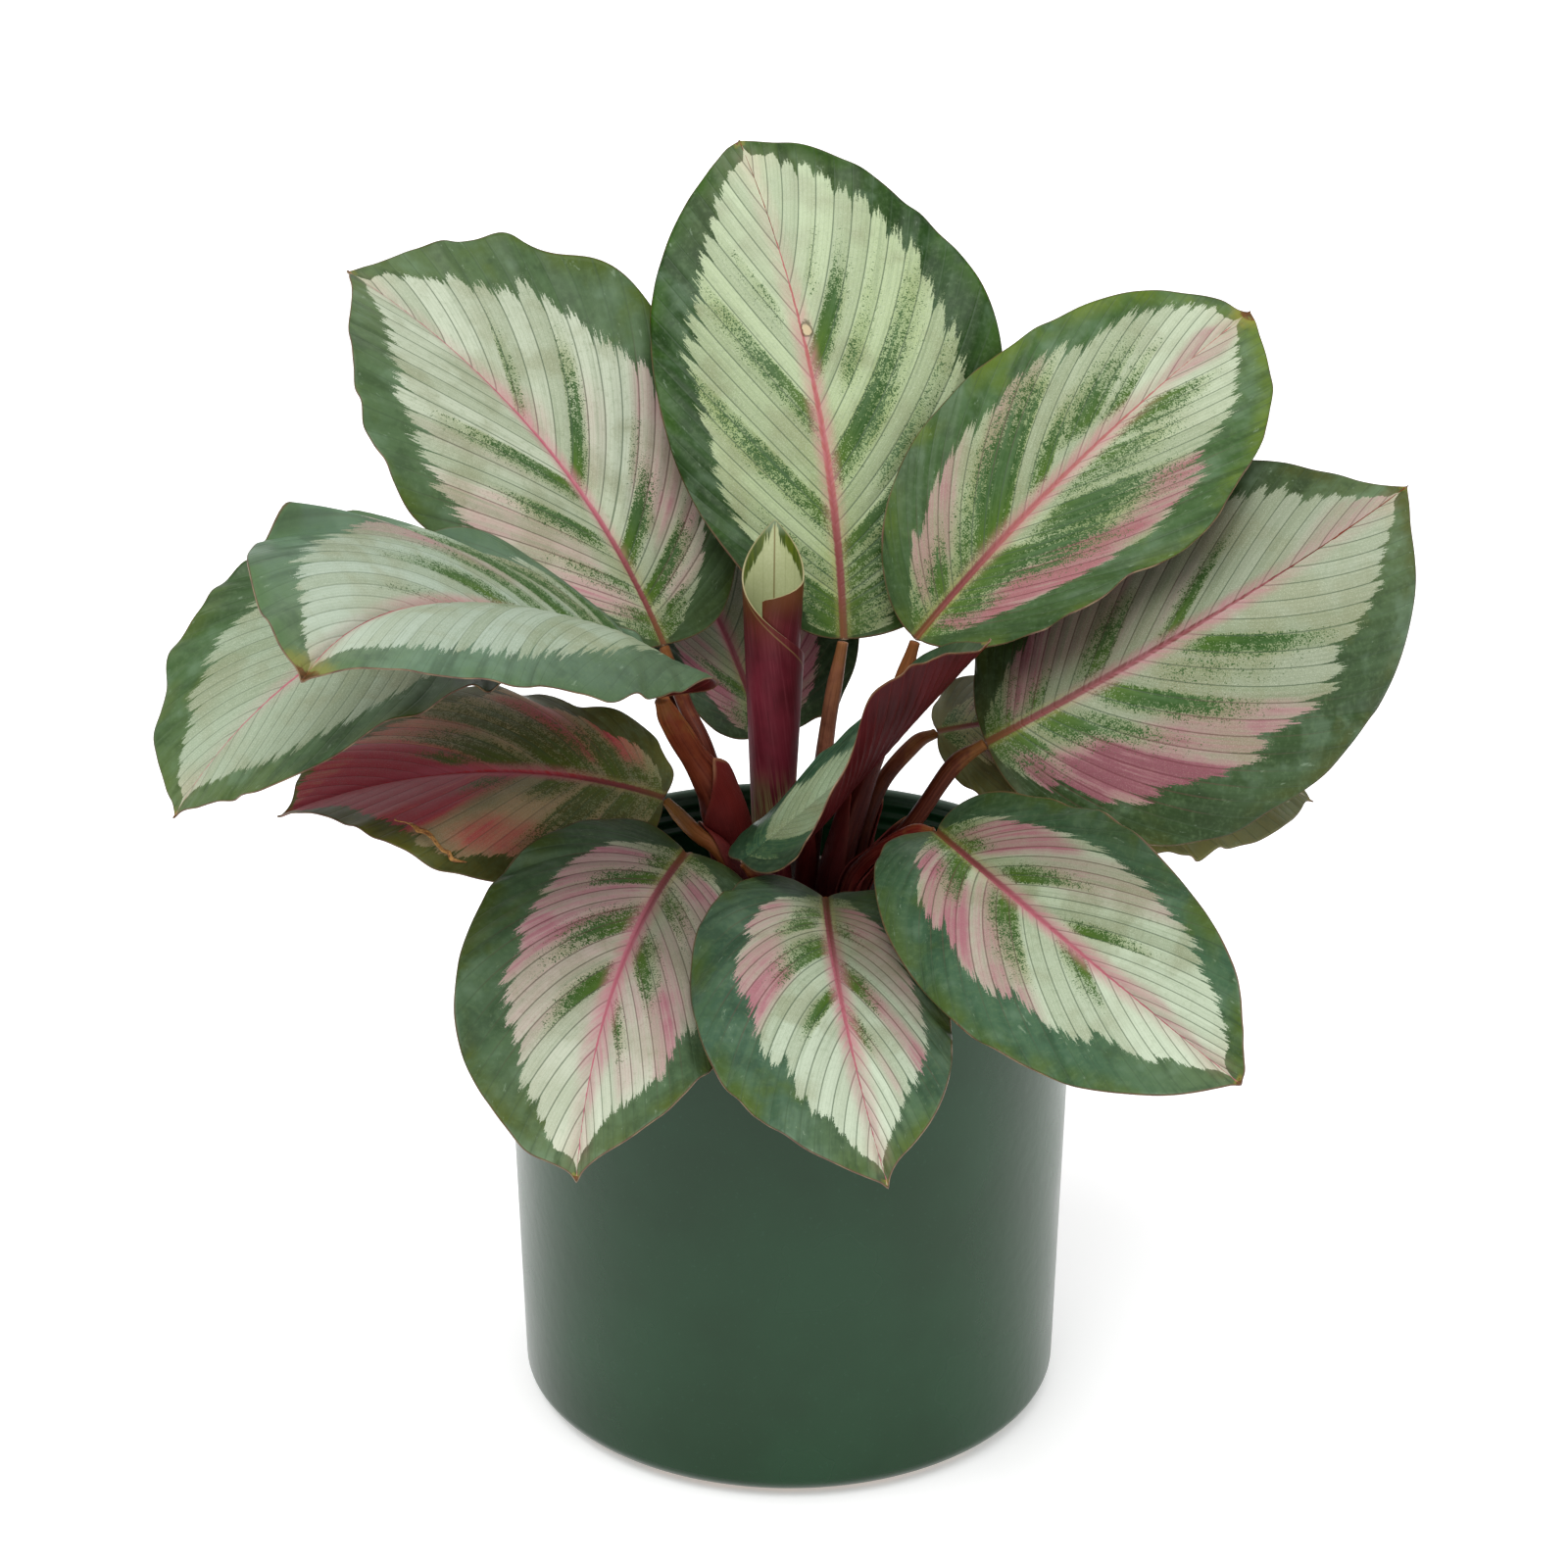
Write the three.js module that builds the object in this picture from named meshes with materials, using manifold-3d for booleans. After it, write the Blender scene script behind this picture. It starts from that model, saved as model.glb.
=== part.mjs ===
// Potted rosy calathea: thirteen patterned leaves and a furled one, on slim stalks that rise from
// one crown in a plain glazed pot. Millimetres, +Z up, the viewer's side is -Y, and the origin is
// the centre of the pot's flat base.
import * as THREE from "three";
import { mergeVertices } from "three/addons/utils/BufferGeometryUtils.js";
import Module from "manifold-3d";

const wasm = await Module();
wasm.setup();

// Driving dimensions
const gap = 0.35; // between pieces that touch
const pot = {
  height: 151,
  topRadius: 80,
  baseRadius: 76.6,
  wall: 4,
  floor: 6,
  footWidth: 12, // rounding at the base, across and up
  footHeight: 7,
  lipRound: 2,
  ringDepth: 0.5, // throwing rings inside the rim
  ringPitch: 4,
  rings: 3,
  sides: 48,
};
const soil = { level: 129, mound: 4, grain: 0.9, sides: 36, circles: 8 };
const stalkDepth = 116; // height of the stalks' lower ends, in the soil
const stalkSeat = 1.1; // from a stalk's upper end to the middle of its blade
const stalkSides = 8;
const stalkRings = 12;
const stalkTaper = 0.7; // of the radius, from the last point to the upper end
const blade = {
  thickness: 0.7,
  veins: 18, // facets from base to tip
  strips: 3, // facets from midrib to margin
  wave: 2, // height and number of the waves along a margin
  waves: 4,
  gather: 2.5, // how closely the side veins start together near the stalk
  lean: 0.42, // where a side vein bends: its share of the way ahead and of the way out
  spread: 0.58,
  shoulder: 0.95, // how bluntly the margin turns in past the widest place
  taper: 1.28,
  leftPhase: 0.37, // of the left margin's waves, in turns
};
const scroll = {
  foot: [-5, 7.5, 163], // centre of the lower end, and of the level of the tip
  head: [-4, 11.5, 250.5],
  thickness: 0.7,
  layer: 1.3, // growth of the radius in one turn
  footRadius: 4.9,
  mouthRadius: 8.3,
  mouthDrop: 14, // from the tip down to the mouth's sides
  tipSlope: 1.05, // fall of the margin for each millimetre across
  outerTurn: 300,
  innerTurn: 240,
  rows: 12,
  columns: 26,
};

// Each leaf: where the blade starts, the bearing, rise and roll of its midrib there, its length,
// how far the midrib then droops, sweeps to the left and twists, and for each half, as seen from
// above with the tip ahead, its reach from midrib to margin, its lift from level and its curl.
// widest is a share of the length, lobe is how far the base reaches back, drip how far the tip
// is drawn in, liftToTip what the lift gains by the tip. A stalk is a row of points with radii,
// and seat its own distance from the blade, where the blade's base lobes call for another.
const leaves = [
  {
    name: "top",
    base: [15, 21.5, 215.5],
    bearing: 93.5,
    rise: 62.5,
    roll: 1,
    length: 154,
    droop: 15,
    sweep: 19,
    twist: -11,
    left: { reach: 44, lift: 16.5, curl: -4.5 },
    right: { reach: 51.5, lift: -4, curl: 14 },
    widest: 0.53,
    lobe: 1.5,
    drip: 4,
    liftToTip: -24,
    stalk: [
      [5, 13, stalkDepth, 3],
      [5, 11, 146, 2.8],
      [9, 15, 178, 2.5],
      [11.5, 19, 196, 2.2],
    ],
  },
  {
    name: "upper_left",
    base: [-35, 20.5, 214],
    bearing: 132,
    rise: 55.5,
    roll: 3.5,
    length: 140,
    droop: 23,
    sweep: 27.5,
    twist: 13.5,
    left: { reach: 54.5, lift: 11.5, curl: -35.5 },
    right: { reach: 55, lift: 6, curl: 38 },
    widest: 0.56,
    lobe: 2.5,
    drip: 5.5,
    liftToTip: 4,
    seat: 0.75,
    stalk: [
      [-10, 5, stalkDepth, 2.4],
      [-13, 4, 150, 2.3],
      [-22, 5, 186, 2.2],
      [-29, 14, 199, 2.1],
    ],
  },
  {
    name: "upper_right",
    base: [35, 18.5, 216.5],
    bearing: 35.5,
    rise: 40,
    roll: 41,
    length: 141,
    droop: 8.5,
    sweep: -11,
    twist: 8.5,
    left: { reach: 39, lift: 18, curl: -14.5 },
    right: { reach: 45, lift: 32, curl: 12.5 },
    widest: 0.45,
    lobe: 0.6,
    drip: 3,
    liftToTip: -19,
    stalk: [
      [11, 2, stalkDepth, 3.6],
      [12, 3, 147, 4],
      [17, 8, 166, 3.8],
      [23, 12, 182, 2.8],
      [31, 17.5, 203.5, 2.2],
    ],
  },
  {
    name: "right",
    base: [54, 2, 192],
    bearing: -2.5,
    rise: 30.5,
    roll: 46.5,
    length: 142,
    droop: 31.5,
    sweep: 20,
    twist: 11,
    left: { reach: 53, lift: -13.5, curl: 26 },
    right: { reach: 56, lift: -7, curl: -31 },
    widest: 0.47,
    lobe: 2.5,
    drip: 6,
    liftToTip: -18,
    seat: 0.75,
    stalk: [
      [17, -3, stalkDepth, 2.7],
      [19, -1.5, 150, 2.6],
      [34, 0, 169, 2.4],
      [45, 2, 185, 2.3],
    ],
  },
  {
    name: "lower_right",
    base: [39.5, -21.5, 175],
    bearing: -64,
    rise: -4,
    roll: 25,
    length: 137,
    droop: 10.5,
    sweep: 3.5,
    twist: 16.5,
    left: { reach: 31.5, lift: 27.5, curl: -4 },
    right: { reach: 40, lift: 33.5, curl: -20 },
    widest: 0.48,
    lobe: 3,
    drip: 3,
    liftToTip: -7.5,
    stalk: [
      [13, -14, stalkDepth, 2.4],
      [15.5, -10.5, 150, 2.3],
      [21, -10.5, 162, 2.1],
      [33, -17, 173, 1.9],
    ],
  },
  {
    name: "front",
    base: [9.5, -31, 159.5],
    bearing: -88.5,
    rise: 1,
    roll: -4,
    length: 116,
    droop: 32,
    sweep: 11.5,
    twist: 12.5,
    left: { reach: 28, lift: 23, curl: -14.5 },
    right: { reach: 40, lift: 30, curl: -35 },
    widest: 0.5,
    lobe: 4,
    drip: 5.5,
    liftToTip: -3,
    stalk: [
      [10, -20, stalkDepth, 2.4],
      [9.5, -21, 138, 2.3],
      [9.5, -25.5, 150, 2.1],
    ],
  },
  {
    name: "lower_left",
    base: [-28, -18, 167.5],
    bearing: -108,
    rise: -2,
    roll: -21,
    length: 127,
    droop: 29,
    sweep: 19.5,
    twist: 23,
    left: { reach: 35.5, lift: 13.5, curl: -23 },
    right: { reach: 40, lift: 16, curl: -17 },
    widest: 0.49,
    lobe: 4,
    drip: 6.5,
    liftToTip: 7,
    stalk: [
      [-10, -25, stalkDepth, 2.4],
      [-14, -23, 145, 2.3],
      [-24, -16.5, 159, 2.1],
    ],
  },
  {
    name: "left",
    base: [-34.5, -3, 177.5],
    bearing: 179,
    rise: 19,
    roll: -25,
    length: 107.5,
    droop: 28.5,
    sweep: 31,
    twist: 26,
    left: { reach: 45, lift: 7, curl: -45.5 },
    right: { reach: 36, lift: 6, curl: -20 },
    widest: 0.43,
    lobe: 3,
    drip: 8,
    liftToTip: 13.5,
    seat: 1.25,
    stalk: [
      [-7, -17, stalkDepth, 2.4],
      [-11, -19, 152, 2.4],
      [-18, -18.5, 167, 2.2],
      [-25, -14.5, 171.5, 2],
      [-30, -7.5, 174, 1.9],
    ],
  },
  {
    name: "arched",
    base: [-34.5, -17, 212],
    bearing: 199.5,
    rise: 43,
    roll: 8.5,
    length: 150,
    droop: 48,
    sweep: 60,
    twist: -4,
    left: { reach: 58.5, lift: 32.5, curl: -59 },
    right: { reach: 40, lift: 42.5, curl: -49 },
    widest: 0.59,
    lobe: 8.5,
    drip: 5,
    liftToTip: -6,
    stalk: [
      [-9, -6, stalkDepth, 5],
      [-12, -7, 150, 5.6],
      [-17.5, -8.5, 172, 6],
      [-21, -9.5, 184, 5],
      [-27, -12, 195, 3.6],
      [-32, -15, 205, 3],
    ],
  },
  {
    name: "far_left",
    base: [-84, 20, 228],
    bearing: 235.5,
    rise: 13.5,
    roll: -31.5,
    length: 118,
    droop: 72,
    sweep: 1,
    twist: 28.5,
    left: { reach: 45, lift: -0.5, curl: 16.5 },
    right: { reach: 43.5, lift: -7, curl: 0.2 },
    widest: 0.44,
    lobe: 3,
    drip: 5,
    liftToTip: 9.5,
    stalk: [
      [-11, 16, stalkDepth, 2.4],
      [-17, 18, 158, 2.3],
      [-30, 30, 189, 2.2],
      [-58, 32, 214, 2.2],
      [-77, 25, 223.5, 2.1],
    ],
  },
  {
    name: "back",
    base: [-8, 36, 182],
    bearing: 121,
    rise: 58,
    roll: 5,
    length: 114,
    droop: 38.5,
    sweep: 12.5,
    twist: 2,
    left: { reach: 37.5, lift: 13.5, curl: 3 },
    right: { reach: 45.5, lift: 15, curl: 3.5 },
    widest: 0.49,
    lobe: 5,
    drip: 5,
    liftToTip: 1.5,
    stalk: [
      [-3, 20, stalkDepth, 2.4],
      [-3, 24, 150, 2.3],
      [-5, 31, 170, 2.1],
    ],
  },
  {
    name: "right_back",
    base: [42, 27, 186],
    bearing: 3,
    rise: 12,
    roll: 15.5,
    length: 117.5,
    droop: 51.5,
    sweep: -6,
    twist: 2,
    left: { reach: 36, lift: 1.5, curl: -16.5 },
    right: { reach: 38.5, lift: -6.5, curl: -32.5 },
    widest: 0.47,
    lobe: 5,
    drip: 5,
    liftToTip: -4,
    stalk: [
      [17, 12, stalkDepth, 2.5],
      [20, 12, 155, 2.4],
      [25, 16, 173, 2.3],
      [35, 23, 183.5, 2.1],
    ],
  },
  {
    name: "twisted",
    base: [-13, -31, 170.5],
    bearing: 33.5,
    rise: 26,
    roll: 30.5,
    length: 91.5,
    droop: -22.5,
    sweep: -4,
    twist: -11,
    left: { reach: 24, lift: -33, curl: -48.5 },
    right: { reach: 35, lift: 18.5, curl: 71.5 },
    widest: 0.5,
    lobe: 3.5,
    drip: 5,
    liftToTip: 32.5,
    stalk: [
      [3, -14, stalkDepth, 2.4],
      [4, -16, 142, 2.3],
      [0, -22, 158, 2.1],
      [-8, -30, 165, 1.9],
    ],
  },
];
const furledStalk = [[-2, 6, stalkDepth, 4.4], [-3, 6.5, 140, 4.5], [-5, 7.5, 162.4, 4.5]];

const leafGreen = new THREE.Color(0x6f9473);
const paleGreen = new THREE.Color(0xaec3a2);
const rosyGreen = new THREE.Color(0xa98f86);
const stalkRed = new THREE.Color(0x6b3027);
const burgundy = new THREE.Color(0x6a2a3a);

const vector = (numbers) => new THREE.Vector3(...numbers.slice(0, 3));
const radians = THREE.MathUtils.degToRad;

// One closed geometry from triangles given as triples of points; slivers without area are dropped.
function closedGeometry(triangles) {
  const points = triangles.flat();
  const geometry = mergeVertices(new THREE.BufferGeometry().setFromPoints(points), 1e-4);
  const index = Array.from(geometry.index.array);
  const kept = [];
  for (let i = 0; i < index.length; i += 3) {
    const [a, b, c] = index.slice(i, i + 3);
    if (a !== b && b !== c && c !== a) kept.push(a, b, c);
  }
  geometry.setIndex(kept);
  geometry.computeVertexNormals();
  return geometry;
}

// A thin closed sheet round a grid of points. Rows run from base to tip and each row from right
// to left, seen from above. A row whose points all meet is a pole. Both faces are split alike.
function sheet(grid, thickness) {
  const lastRow = grid.length - 1;
  const lastColumn = grid[0].length - 1;
  const isPole = (row) => row[0].distanceTo(row[lastColumn]) < 1e-6;
  const upward = grid.map((row, i) => {
    const side = isPole(row) ? grid[i === 0 ? 1 : i - 1] : row;
    const normals = row.map((_, j) => {
      const ahead = grid[Math.min(i + 1, lastRow)][j].clone();
      const along = ahead.sub(grid[Math.max(i - 1, 0)][j]);
      const across = side[Math.min(j + 1, lastColumn)].clone().sub(side[Math.max(j - 1, 0)]);
      return along.cross(across).normalize();
    });
    if (!isPole(row)) return normals;
    const mean = normals.reduce((sum, n) => sum.add(n), new THREE.Vector3()).normalize();
    return row.map(() => mean);
  });
  const offset = (height) =>
    grid.map((row, i) => row.map((p, j) => p.clone().addScaledVector(upward[i][j], height)));
  const top = offset(thickness / 2);
  const bottom = offset(-thickness / 2);
  const triangles = [];
  const quad = (a, b, c, d) => triangles.push([a, b, c], [a, c, d]);
  for (let i = 0; i < lastRow; i++) {
    for (let j = 0; j < lastColumn; j++) {
      quad(top[i][j], top[i + 1][j], top[i + 1][j + 1], top[i][j + 1]);
      triangles.push([bottom[i][j], bottom[i + 1][j + 1], bottom[i + 1][j]]);
      triangles.push([bottom[i][j], bottom[i][j + 1], bottom[i + 1][j + 1]]);
    }
    quad(bottom[i][0], bottom[i + 1][0], top[i + 1][0], top[i][0]);
    const k = lastColumn;
    quad(top[i][k], top[i + 1][k], bottom[i + 1][k], bottom[i][k]);
  }
  for (let j = 0; j < lastColumn; j++) {
    quad(bottom[0][j], top[0][j], top[0][j + 1], bottom[0][j + 1]);
    const k = lastRow;
    quad(top[k][j], bottom[k][j], bottom[k][j + 1], top[k][j + 1]);
  }
  return closedGeometry(triangles);
}

// A closed round bar along a smooth curve through points that carry their own radii.
function bar(points, extra = 0) {
  const curve = new THREE.CatmullRomCurve3(points.map(vector), false, "catmullrom", 0.5);
  const radiusAt = (t) => {
    const place = t * (points.length - 1);
    const before = Math.min(Math.floor(place), points.length - 2);
    const share = THREE.MathUtils.smoothstep(place - before, 0, 1);
    return THREE.MathUtils.lerp(points[before][3], points[before + 1][3], share) + extra;
  };
  const rings = [];
  let tangent = curve.getTangent(0);
  let side = new THREE.Vector3(1, 0, 0).cross(tangent).normalize();
  for (let i = 0; i <= stalkRings; i++) {
    const t = i / stalkRings;
    const next = curve.getTangent(t);
    side = side.clone().applyQuaternion(new THREE.Quaternion().setFromUnitVectors(tangent, next));
    tangent = next;
    const other = tangent.clone().cross(side);
    const centre = curve.getPoint(t);
    const ring = [];
    for (let k = 0; k < stalkSides; k++) {
      const angle = (2 * Math.PI * k) / stalkSides;
      const p = centre.clone().addScaledVector(side, radiusAt(t) * Math.cos(angle));
      ring.push(p.addScaledVector(other, radiusAt(t) * Math.sin(angle)));
    }
    rings.push(ring);
  }
  const triangles = [];
  for (let k = 0; k < stalkSides; k++) {
    const n = (k + 1) % stalkSides;
    for (let i = 0; i < stalkRings; i++) {
      triangles.push([rings[i][k], rings[i][n], rings[i + 1][n]]);
      triangles.push([rings[i][k], rings[i + 1][n], rings[i + 1][k]]);
    }
    if (k === 0 || n === 0) continue;
    triangles.push([rings[0][0], rings[0][n], rings[0][k]]);
    triangles.push([rings[stalkRings][0], rings[stalkRings][k], rings[stalkRings][n]]);
  }
  return closedGeometry(triangles);
}

// Stations along a midrib, each with its point and its directions ahead, to the left and up.
function midrib(leaf) {
  const steps = 48;
  const bearing = radians(leaf.bearing);
  const rise = radians(leaf.rise);
  const level = new THREE.Vector3(Math.cos(bearing), Math.sin(bearing), 0);
  let ahead = level.clone().multiplyScalar(Math.cos(rise));
  ahead.z = Math.sin(rise);
  let left = new THREE.Vector3(-level.y, level.x, 0).applyAxisAngle(ahead, radians(leaf.roll));
  let point = vector(leaf.base);
  const stations = [{ point, ahead, left, up: ahead.clone().cross(left) }];
  for (let i = 0; i < steps; i++) {
    const up = stations[i].up;
    const turn = (v) =>
      v
        .clone()
        .applyAxisAngle(ahead, radians(leaf.twist / steps))
        .applyAxisAngle(up, radians(leaf.sweep / steps))
        .applyAxisAngle(left, radians(leaf.droop / steps));
    const next = turn(ahead);
    const stride = ahead.clone().add(next).setLength(leaf.length / steps);
    const nextLeft = turn(left);
    point = point.clone().add(stride);
    left = nextLeft;
    ahead = next;
    stations.push({ point, ahead, left, up: ahead.clone().cross(left) });
  }
  return stations;
}

// Where a leaf's side vein lies on the flat blade: q picks the vein, from the stalk (0) to the
// tip (1), and t runs along it from the midrib (0) to the margin (1).
function veinPoint(leaf, reach, q, t) {
  const angle = Math.PI * q;
  const toTip = Math.max(2 * q - 1, 0);
  const round = q <= 0.5 ? 1 - Math.cos(angle) : 1;
  const marginX =
    leaf.widest * leaf.length * round +
    (1 - leaf.widest) * leaf.length * Math.sin((Math.PI / 2) * toTip) ** blade.shoulder -
    leaf.drip * toTip ** 2 * (1 - toTip ** 10) -
    (q <= 0.5 ? leaf.lobe * Math.sin(2 * angle) : 0);
  const narrowing = Math.cos((Math.PI / 2) * toTip) ** blade.taper;
  const marginY = reach * (q <= 0.5 ? Math.sin(angle) : narrowing);
  const veinX = leaf.length * q ** blade.gather;
  const bend = 2 * t * (1 - t);
  const straight = (1 - t) ** 2 + bend;
  return {
    x: veinX * straight + bend * blade.lean * (marginX - veinX) + t * t * marginX,
    y: (bend * blade.spread + t * t) * marginY,
  };
}

// A point of the grown blade: the flat blade bent along its midrib, each half lifted and curled.
function bladePoint(leaf, stations, side, q, t) {
  const half = side > 0 ? leaf.left : leaf.right;
  const { x, y } = veinPoint(leaf, half.reach, q, t);
  const share = THREE.MathUtils.clamp(x / leaf.length, 0, 1);
  const place = share * (stations.length - 1);
  const before = Math.min(Math.floor(place), stations.length - 2);
  const rest = place - before;
  const mix = (key) => stations[before][key].clone().lerp(stations[before + 1][key], rest);
  const lift = radians(half.lift + leaf.liftToTip * share);
  const curl = radians(half.curl);
  const spread = (curl * y) / half.reach;
  const out = (half.reach / curl) * (Math.sin(lift + spread) - Math.sin(lift));
  const rise = (half.reach / curl) * (Math.cos(lift) - Math.cos(lift + spread));
  const phase = side > 0 ? blade.leftPhase : 0;
  const ripple =
    blade.wave *
    (y / half.reach) *
    t ** 1.5 *
    Math.sin(2 * Math.PI * (blade.waves * q + phase)) *
    Math.sqrt(Math.abs(Math.sin(Math.PI * q)));
  return mix("point")
    .addScaledVector(mix("ahead"), x - share * leaf.length)
    .addScaledVector(mix("left"), side * out)
    .addScaledVector(mix("up"), rise + ripple);
}

function bladeGeometry(leaf) {
  const stations = midrib(leaf);
  const grid = [];
  for (let i = 0; i <= blade.veins; i++) {
    const q = i / blade.veins;
    const row = [];
    for (let j = -blade.strips; j <= blade.strips; j++) {
      const isPole = i === 0 || i === blade.veins;
      const t = isPole ? 0 : Math.abs(j) / blade.strips;
      row.push(bladePoint(leaf, stations, j < 0 ? -1 : 1, q, t));
    }
    grid.push(row);
  }
  return sheet(grid, blade.thickness);
}

// The furled leaf: one blade rolled into a spiral, its outer half round the left, its tip behind.
function furledGeometry() {
  const foot = vector(scroll.foot);
  const head = vector(scroll.head);
  const height = head.z - foot.z;
  const grid = [];
  for (let i = 0; i <= scroll.rows; i++) {
    const share = i / scroll.rows;
    const drop = height * (1 - share);
    const flare = Math.min(1, (height - drop) / (height - scroll.mouthDrop));
    const radius = THREE.MathUtils.lerp(scroll.footRadius, scroll.mouthRadius, flare);
    const marginTurn = THREE.MathUtils.radToDeg(drop / scroll.tipSlope / radius);
    const centre = foot.clone().lerp(head, share);
    const row = [];
    for (let j = 0; j <= scroll.columns; j++) {
      const place = (2 * j) / scroll.columns - 1;
      const limit = place > 0 ? scroll.outerTurn : scroll.innerTurn;
      const turn = radians(place * Math.min(limit, marginTurn));
      const reach = radius + (scroll.layer * turn) / (2 * Math.PI);
      const outward = new THREE.Vector3(-Math.sin(turn), Math.cos(turn), 0);
      row.push(centre.clone().addScaledVector(outward, reach));
    }
    grid.push(row.reverse());
  }
  return sheet(grid, scroll.thickness);
}

// A stalk with its upper end a seat's width short of the blade that it carries.
function stalkPoints(leaf) {
  const knee = leaf.stalk[leaf.stalk.length - 1];
  const base = vector(leaf.base);
  const down = vector(knee).sub(base).normalize();
  const seat = base.clone().addScaledVector(down, leaf.seat ?? stalkSeat);
  return [...leaf.stalk, [seat.x, seat.y, seat.z, knee[3] * stalkTaper]];
}

// The pot's outer and inner radius at a height.
const potRadius = (z) => THREE.MathUtils.lerp(pot.baseRadius, pot.topRadius, z / pot.height);
const innerRadius = (z) => potRadius(z) - pot.wall;

// A thrown pot with straight sides, a softly rounded base, a flat bottom and rings inside the rim.
function potGeometry() {
  const profile = [[0, 0]];
  for (let i = 0; i <= 4; i++) {
    const angle = (Math.PI / 2) * (i / 4);
    const x = potRadius(pot.footHeight) - pot.footWidth * (1 - Math.sin(angle));
    profile.push([x, pot.footHeight * (1 - Math.cos(angle))]);
  }
  const lipMiddle = pot.height - pot.lipRound;
  for (let i = 0; i <= 4; i++) {
    const angle = Math.PI * (i / 4);
    const x = pot.topRadius - pot.wall / 2 + (pot.wall / 2) * Math.cos(angle);
    profile.push([x, lipMiddle + pot.lipRound * Math.sin(angle)]);
  }
  for (let i = 1; i <= 2 * pot.rings; i++) {
    const z = lipMiddle - (i * pot.ringPitch) / 2;
    profile.push([innerRadius(z) - (i % 2 ? pot.ringDepth : 0), z]);
  }
  profile.push([innerRadius(pot.floor), pot.floor], [0, pot.floor]);
  const outline = profile.map(([x, z]) => new THREE.Vector2(x, z));
  return new THREE.LatheGeometry(outline, pot.sides).rotateX(Math.PI / 2);
}

// Height of the soil's uneven surface: a low mound round the crown, with lumps.
function soilHeight(x, y) {
  const out = Math.hypot(x, y) / pot.topRadius;
  const lumps =
    Math.sin(0.31 * x + 1.3) * Math.cos(0.27 * y) +
    0.6 * Math.sin(0.73 * x - 0.52 * y) +
    0.4 * Math.cos(0.9 * y + 0.4 * x);
  return soil.level + soil.mound * Math.max(0, 1 - out * 1.3) + (soil.grain * lumps) / 2;
}

// The potting mix fills the pot, a gap short of its wall and floor, under a lumpy surface.
function soilGeometry() {
  const bottomZ = pot.floor + gap;
  const triangles = [];
  const ringAt = (radius, heightOf) => {
    const ring = [];
    for (let k = 0; k < soil.sides; k++) {
      const angle = (2 * Math.PI * k) / soil.sides;
      const x = radius * Math.cos(angle);
      const y = radius * Math.sin(angle);
      ring.push(new THREE.Vector3(x, y, heightOf(x, y)));
    }
    return ring;
  };
  // a flat-sided pot stands a little inside its true circle, and so does the soil
  const inscribed = Math.cos(Math.PI / pot.sides);
  const rings = [ringAt((innerRadius(bottomZ) - gap) * inscribed, () => bottomZ)];
  for (let i = soil.circles; i > 0; i--) {
    const outer = (innerRadius(soil.level) - gap) * inscribed;
    rings.push(ringAt((outer * i) / soil.circles, soilHeight));
  }
  const floorMiddle = new THREE.Vector3(0, 0, bottomZ);
  const topMiddle = new THREE.Vector3(0, 0, soilHeight(0, 0));
  const last = rings[rings.length - 1];
  for (let k = 0; k < soil.sides; k++) {
    const n = (k + 1) % soil.sides;
    triangles.push([floorMiddle, rings[0][n], rings[0][k]]);
    for (let i = 0; i + 1 < rings.length; i++) {
      triangles.push([rings[i][k], rings[i][n], rings[i + 1][n]]);
      triangles.push([rings[i][k], rings[i + 1][n], rings[i + 1][k]]);
    }
    triangles.push([last[k], last[n], topMiddle]);
  }
  return closedGeometry(triangles);
}

function toSolid(geometry) {
  const plain = geometry.clone();
  plain.deleteAttribute("normal");
  plain.deleteAttribute("uv");
  const merged = mergeVertices(plain, 1e-4);
  const vertProperties = merged.attributes.position.array;
  const triVerts = new Uint32Array(merged.index.array);
  return new wasm.Manifold(new wasm.Mesh({ numProp: 3, vertProperties, triVerts }));
}

function fromSolid(solid) {
  const mesh = solid.getMesh();
  const geometry = new THREE.BufferGeometry();
  geometry.setAttribute("position", new THREE.BufferAttribute(mesh.vertProperties, 3));
  geometry.setIndex(new THREE.BufferAttribute(mesh.triVerts, 1));
  geometry.computeVertexNormals();
  return geometry;
}

function piece(name, geometry, color, roughness) {
  const material = new THREE.MeshStandardMaterial({ color, roughness, metalness: 0 });
  const mesh = new THREE.Mesh(geometry, material);
  mesh.name = name;
  return mesh;
}

const stalks = leaves.map((leaf) => ({ name: leaf.name, points: stalkPoints(leaf) }));
stalks.push({ name: "furled", points: furledStalk });

const potGroup = new THREE.Group();
potGroup.add(piece("pot", potGeometry(), 0x2f5442, 0.3));
// each stalk stands in its own plain hole in the soil
let soilSolid = toSolid(soilGeometry());
for (const { points } of stalks) {
  const [x, y, z, radius] = points[0];
  const deeper = [[x, y, z - gap, radius], ...points.slice(1)];
  soilSolid = soilSolid.subtract(toSolid(bar(deeper, gap)));
}
potGroup.add(piece("soil", fromSolid(soilSolid), 0x2d2119, 0.95));

const plant = new THREE.Group();
for (const { name, points } of stalks) {
  plant.add(piece(`stalk_${name}`, bar(points), stalkRed, 0.5));
}
const tints = { left: rosyGreen, top: paleGreen, far_left: paleGreen, back: rosyGreen };
for (const leaf of leaves) {
  plant.add(piece(`blade_${leaf.name}`, bladeGeometry(leaf), tints[leaf.name] ?? leafGreen, 0.45));
}
plant.add(piece("blade_furled", furledGeometry(), burgundy, 0.45));

const part = new THREE.Group();
part.add(potGroup, plant);

export default part;
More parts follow.
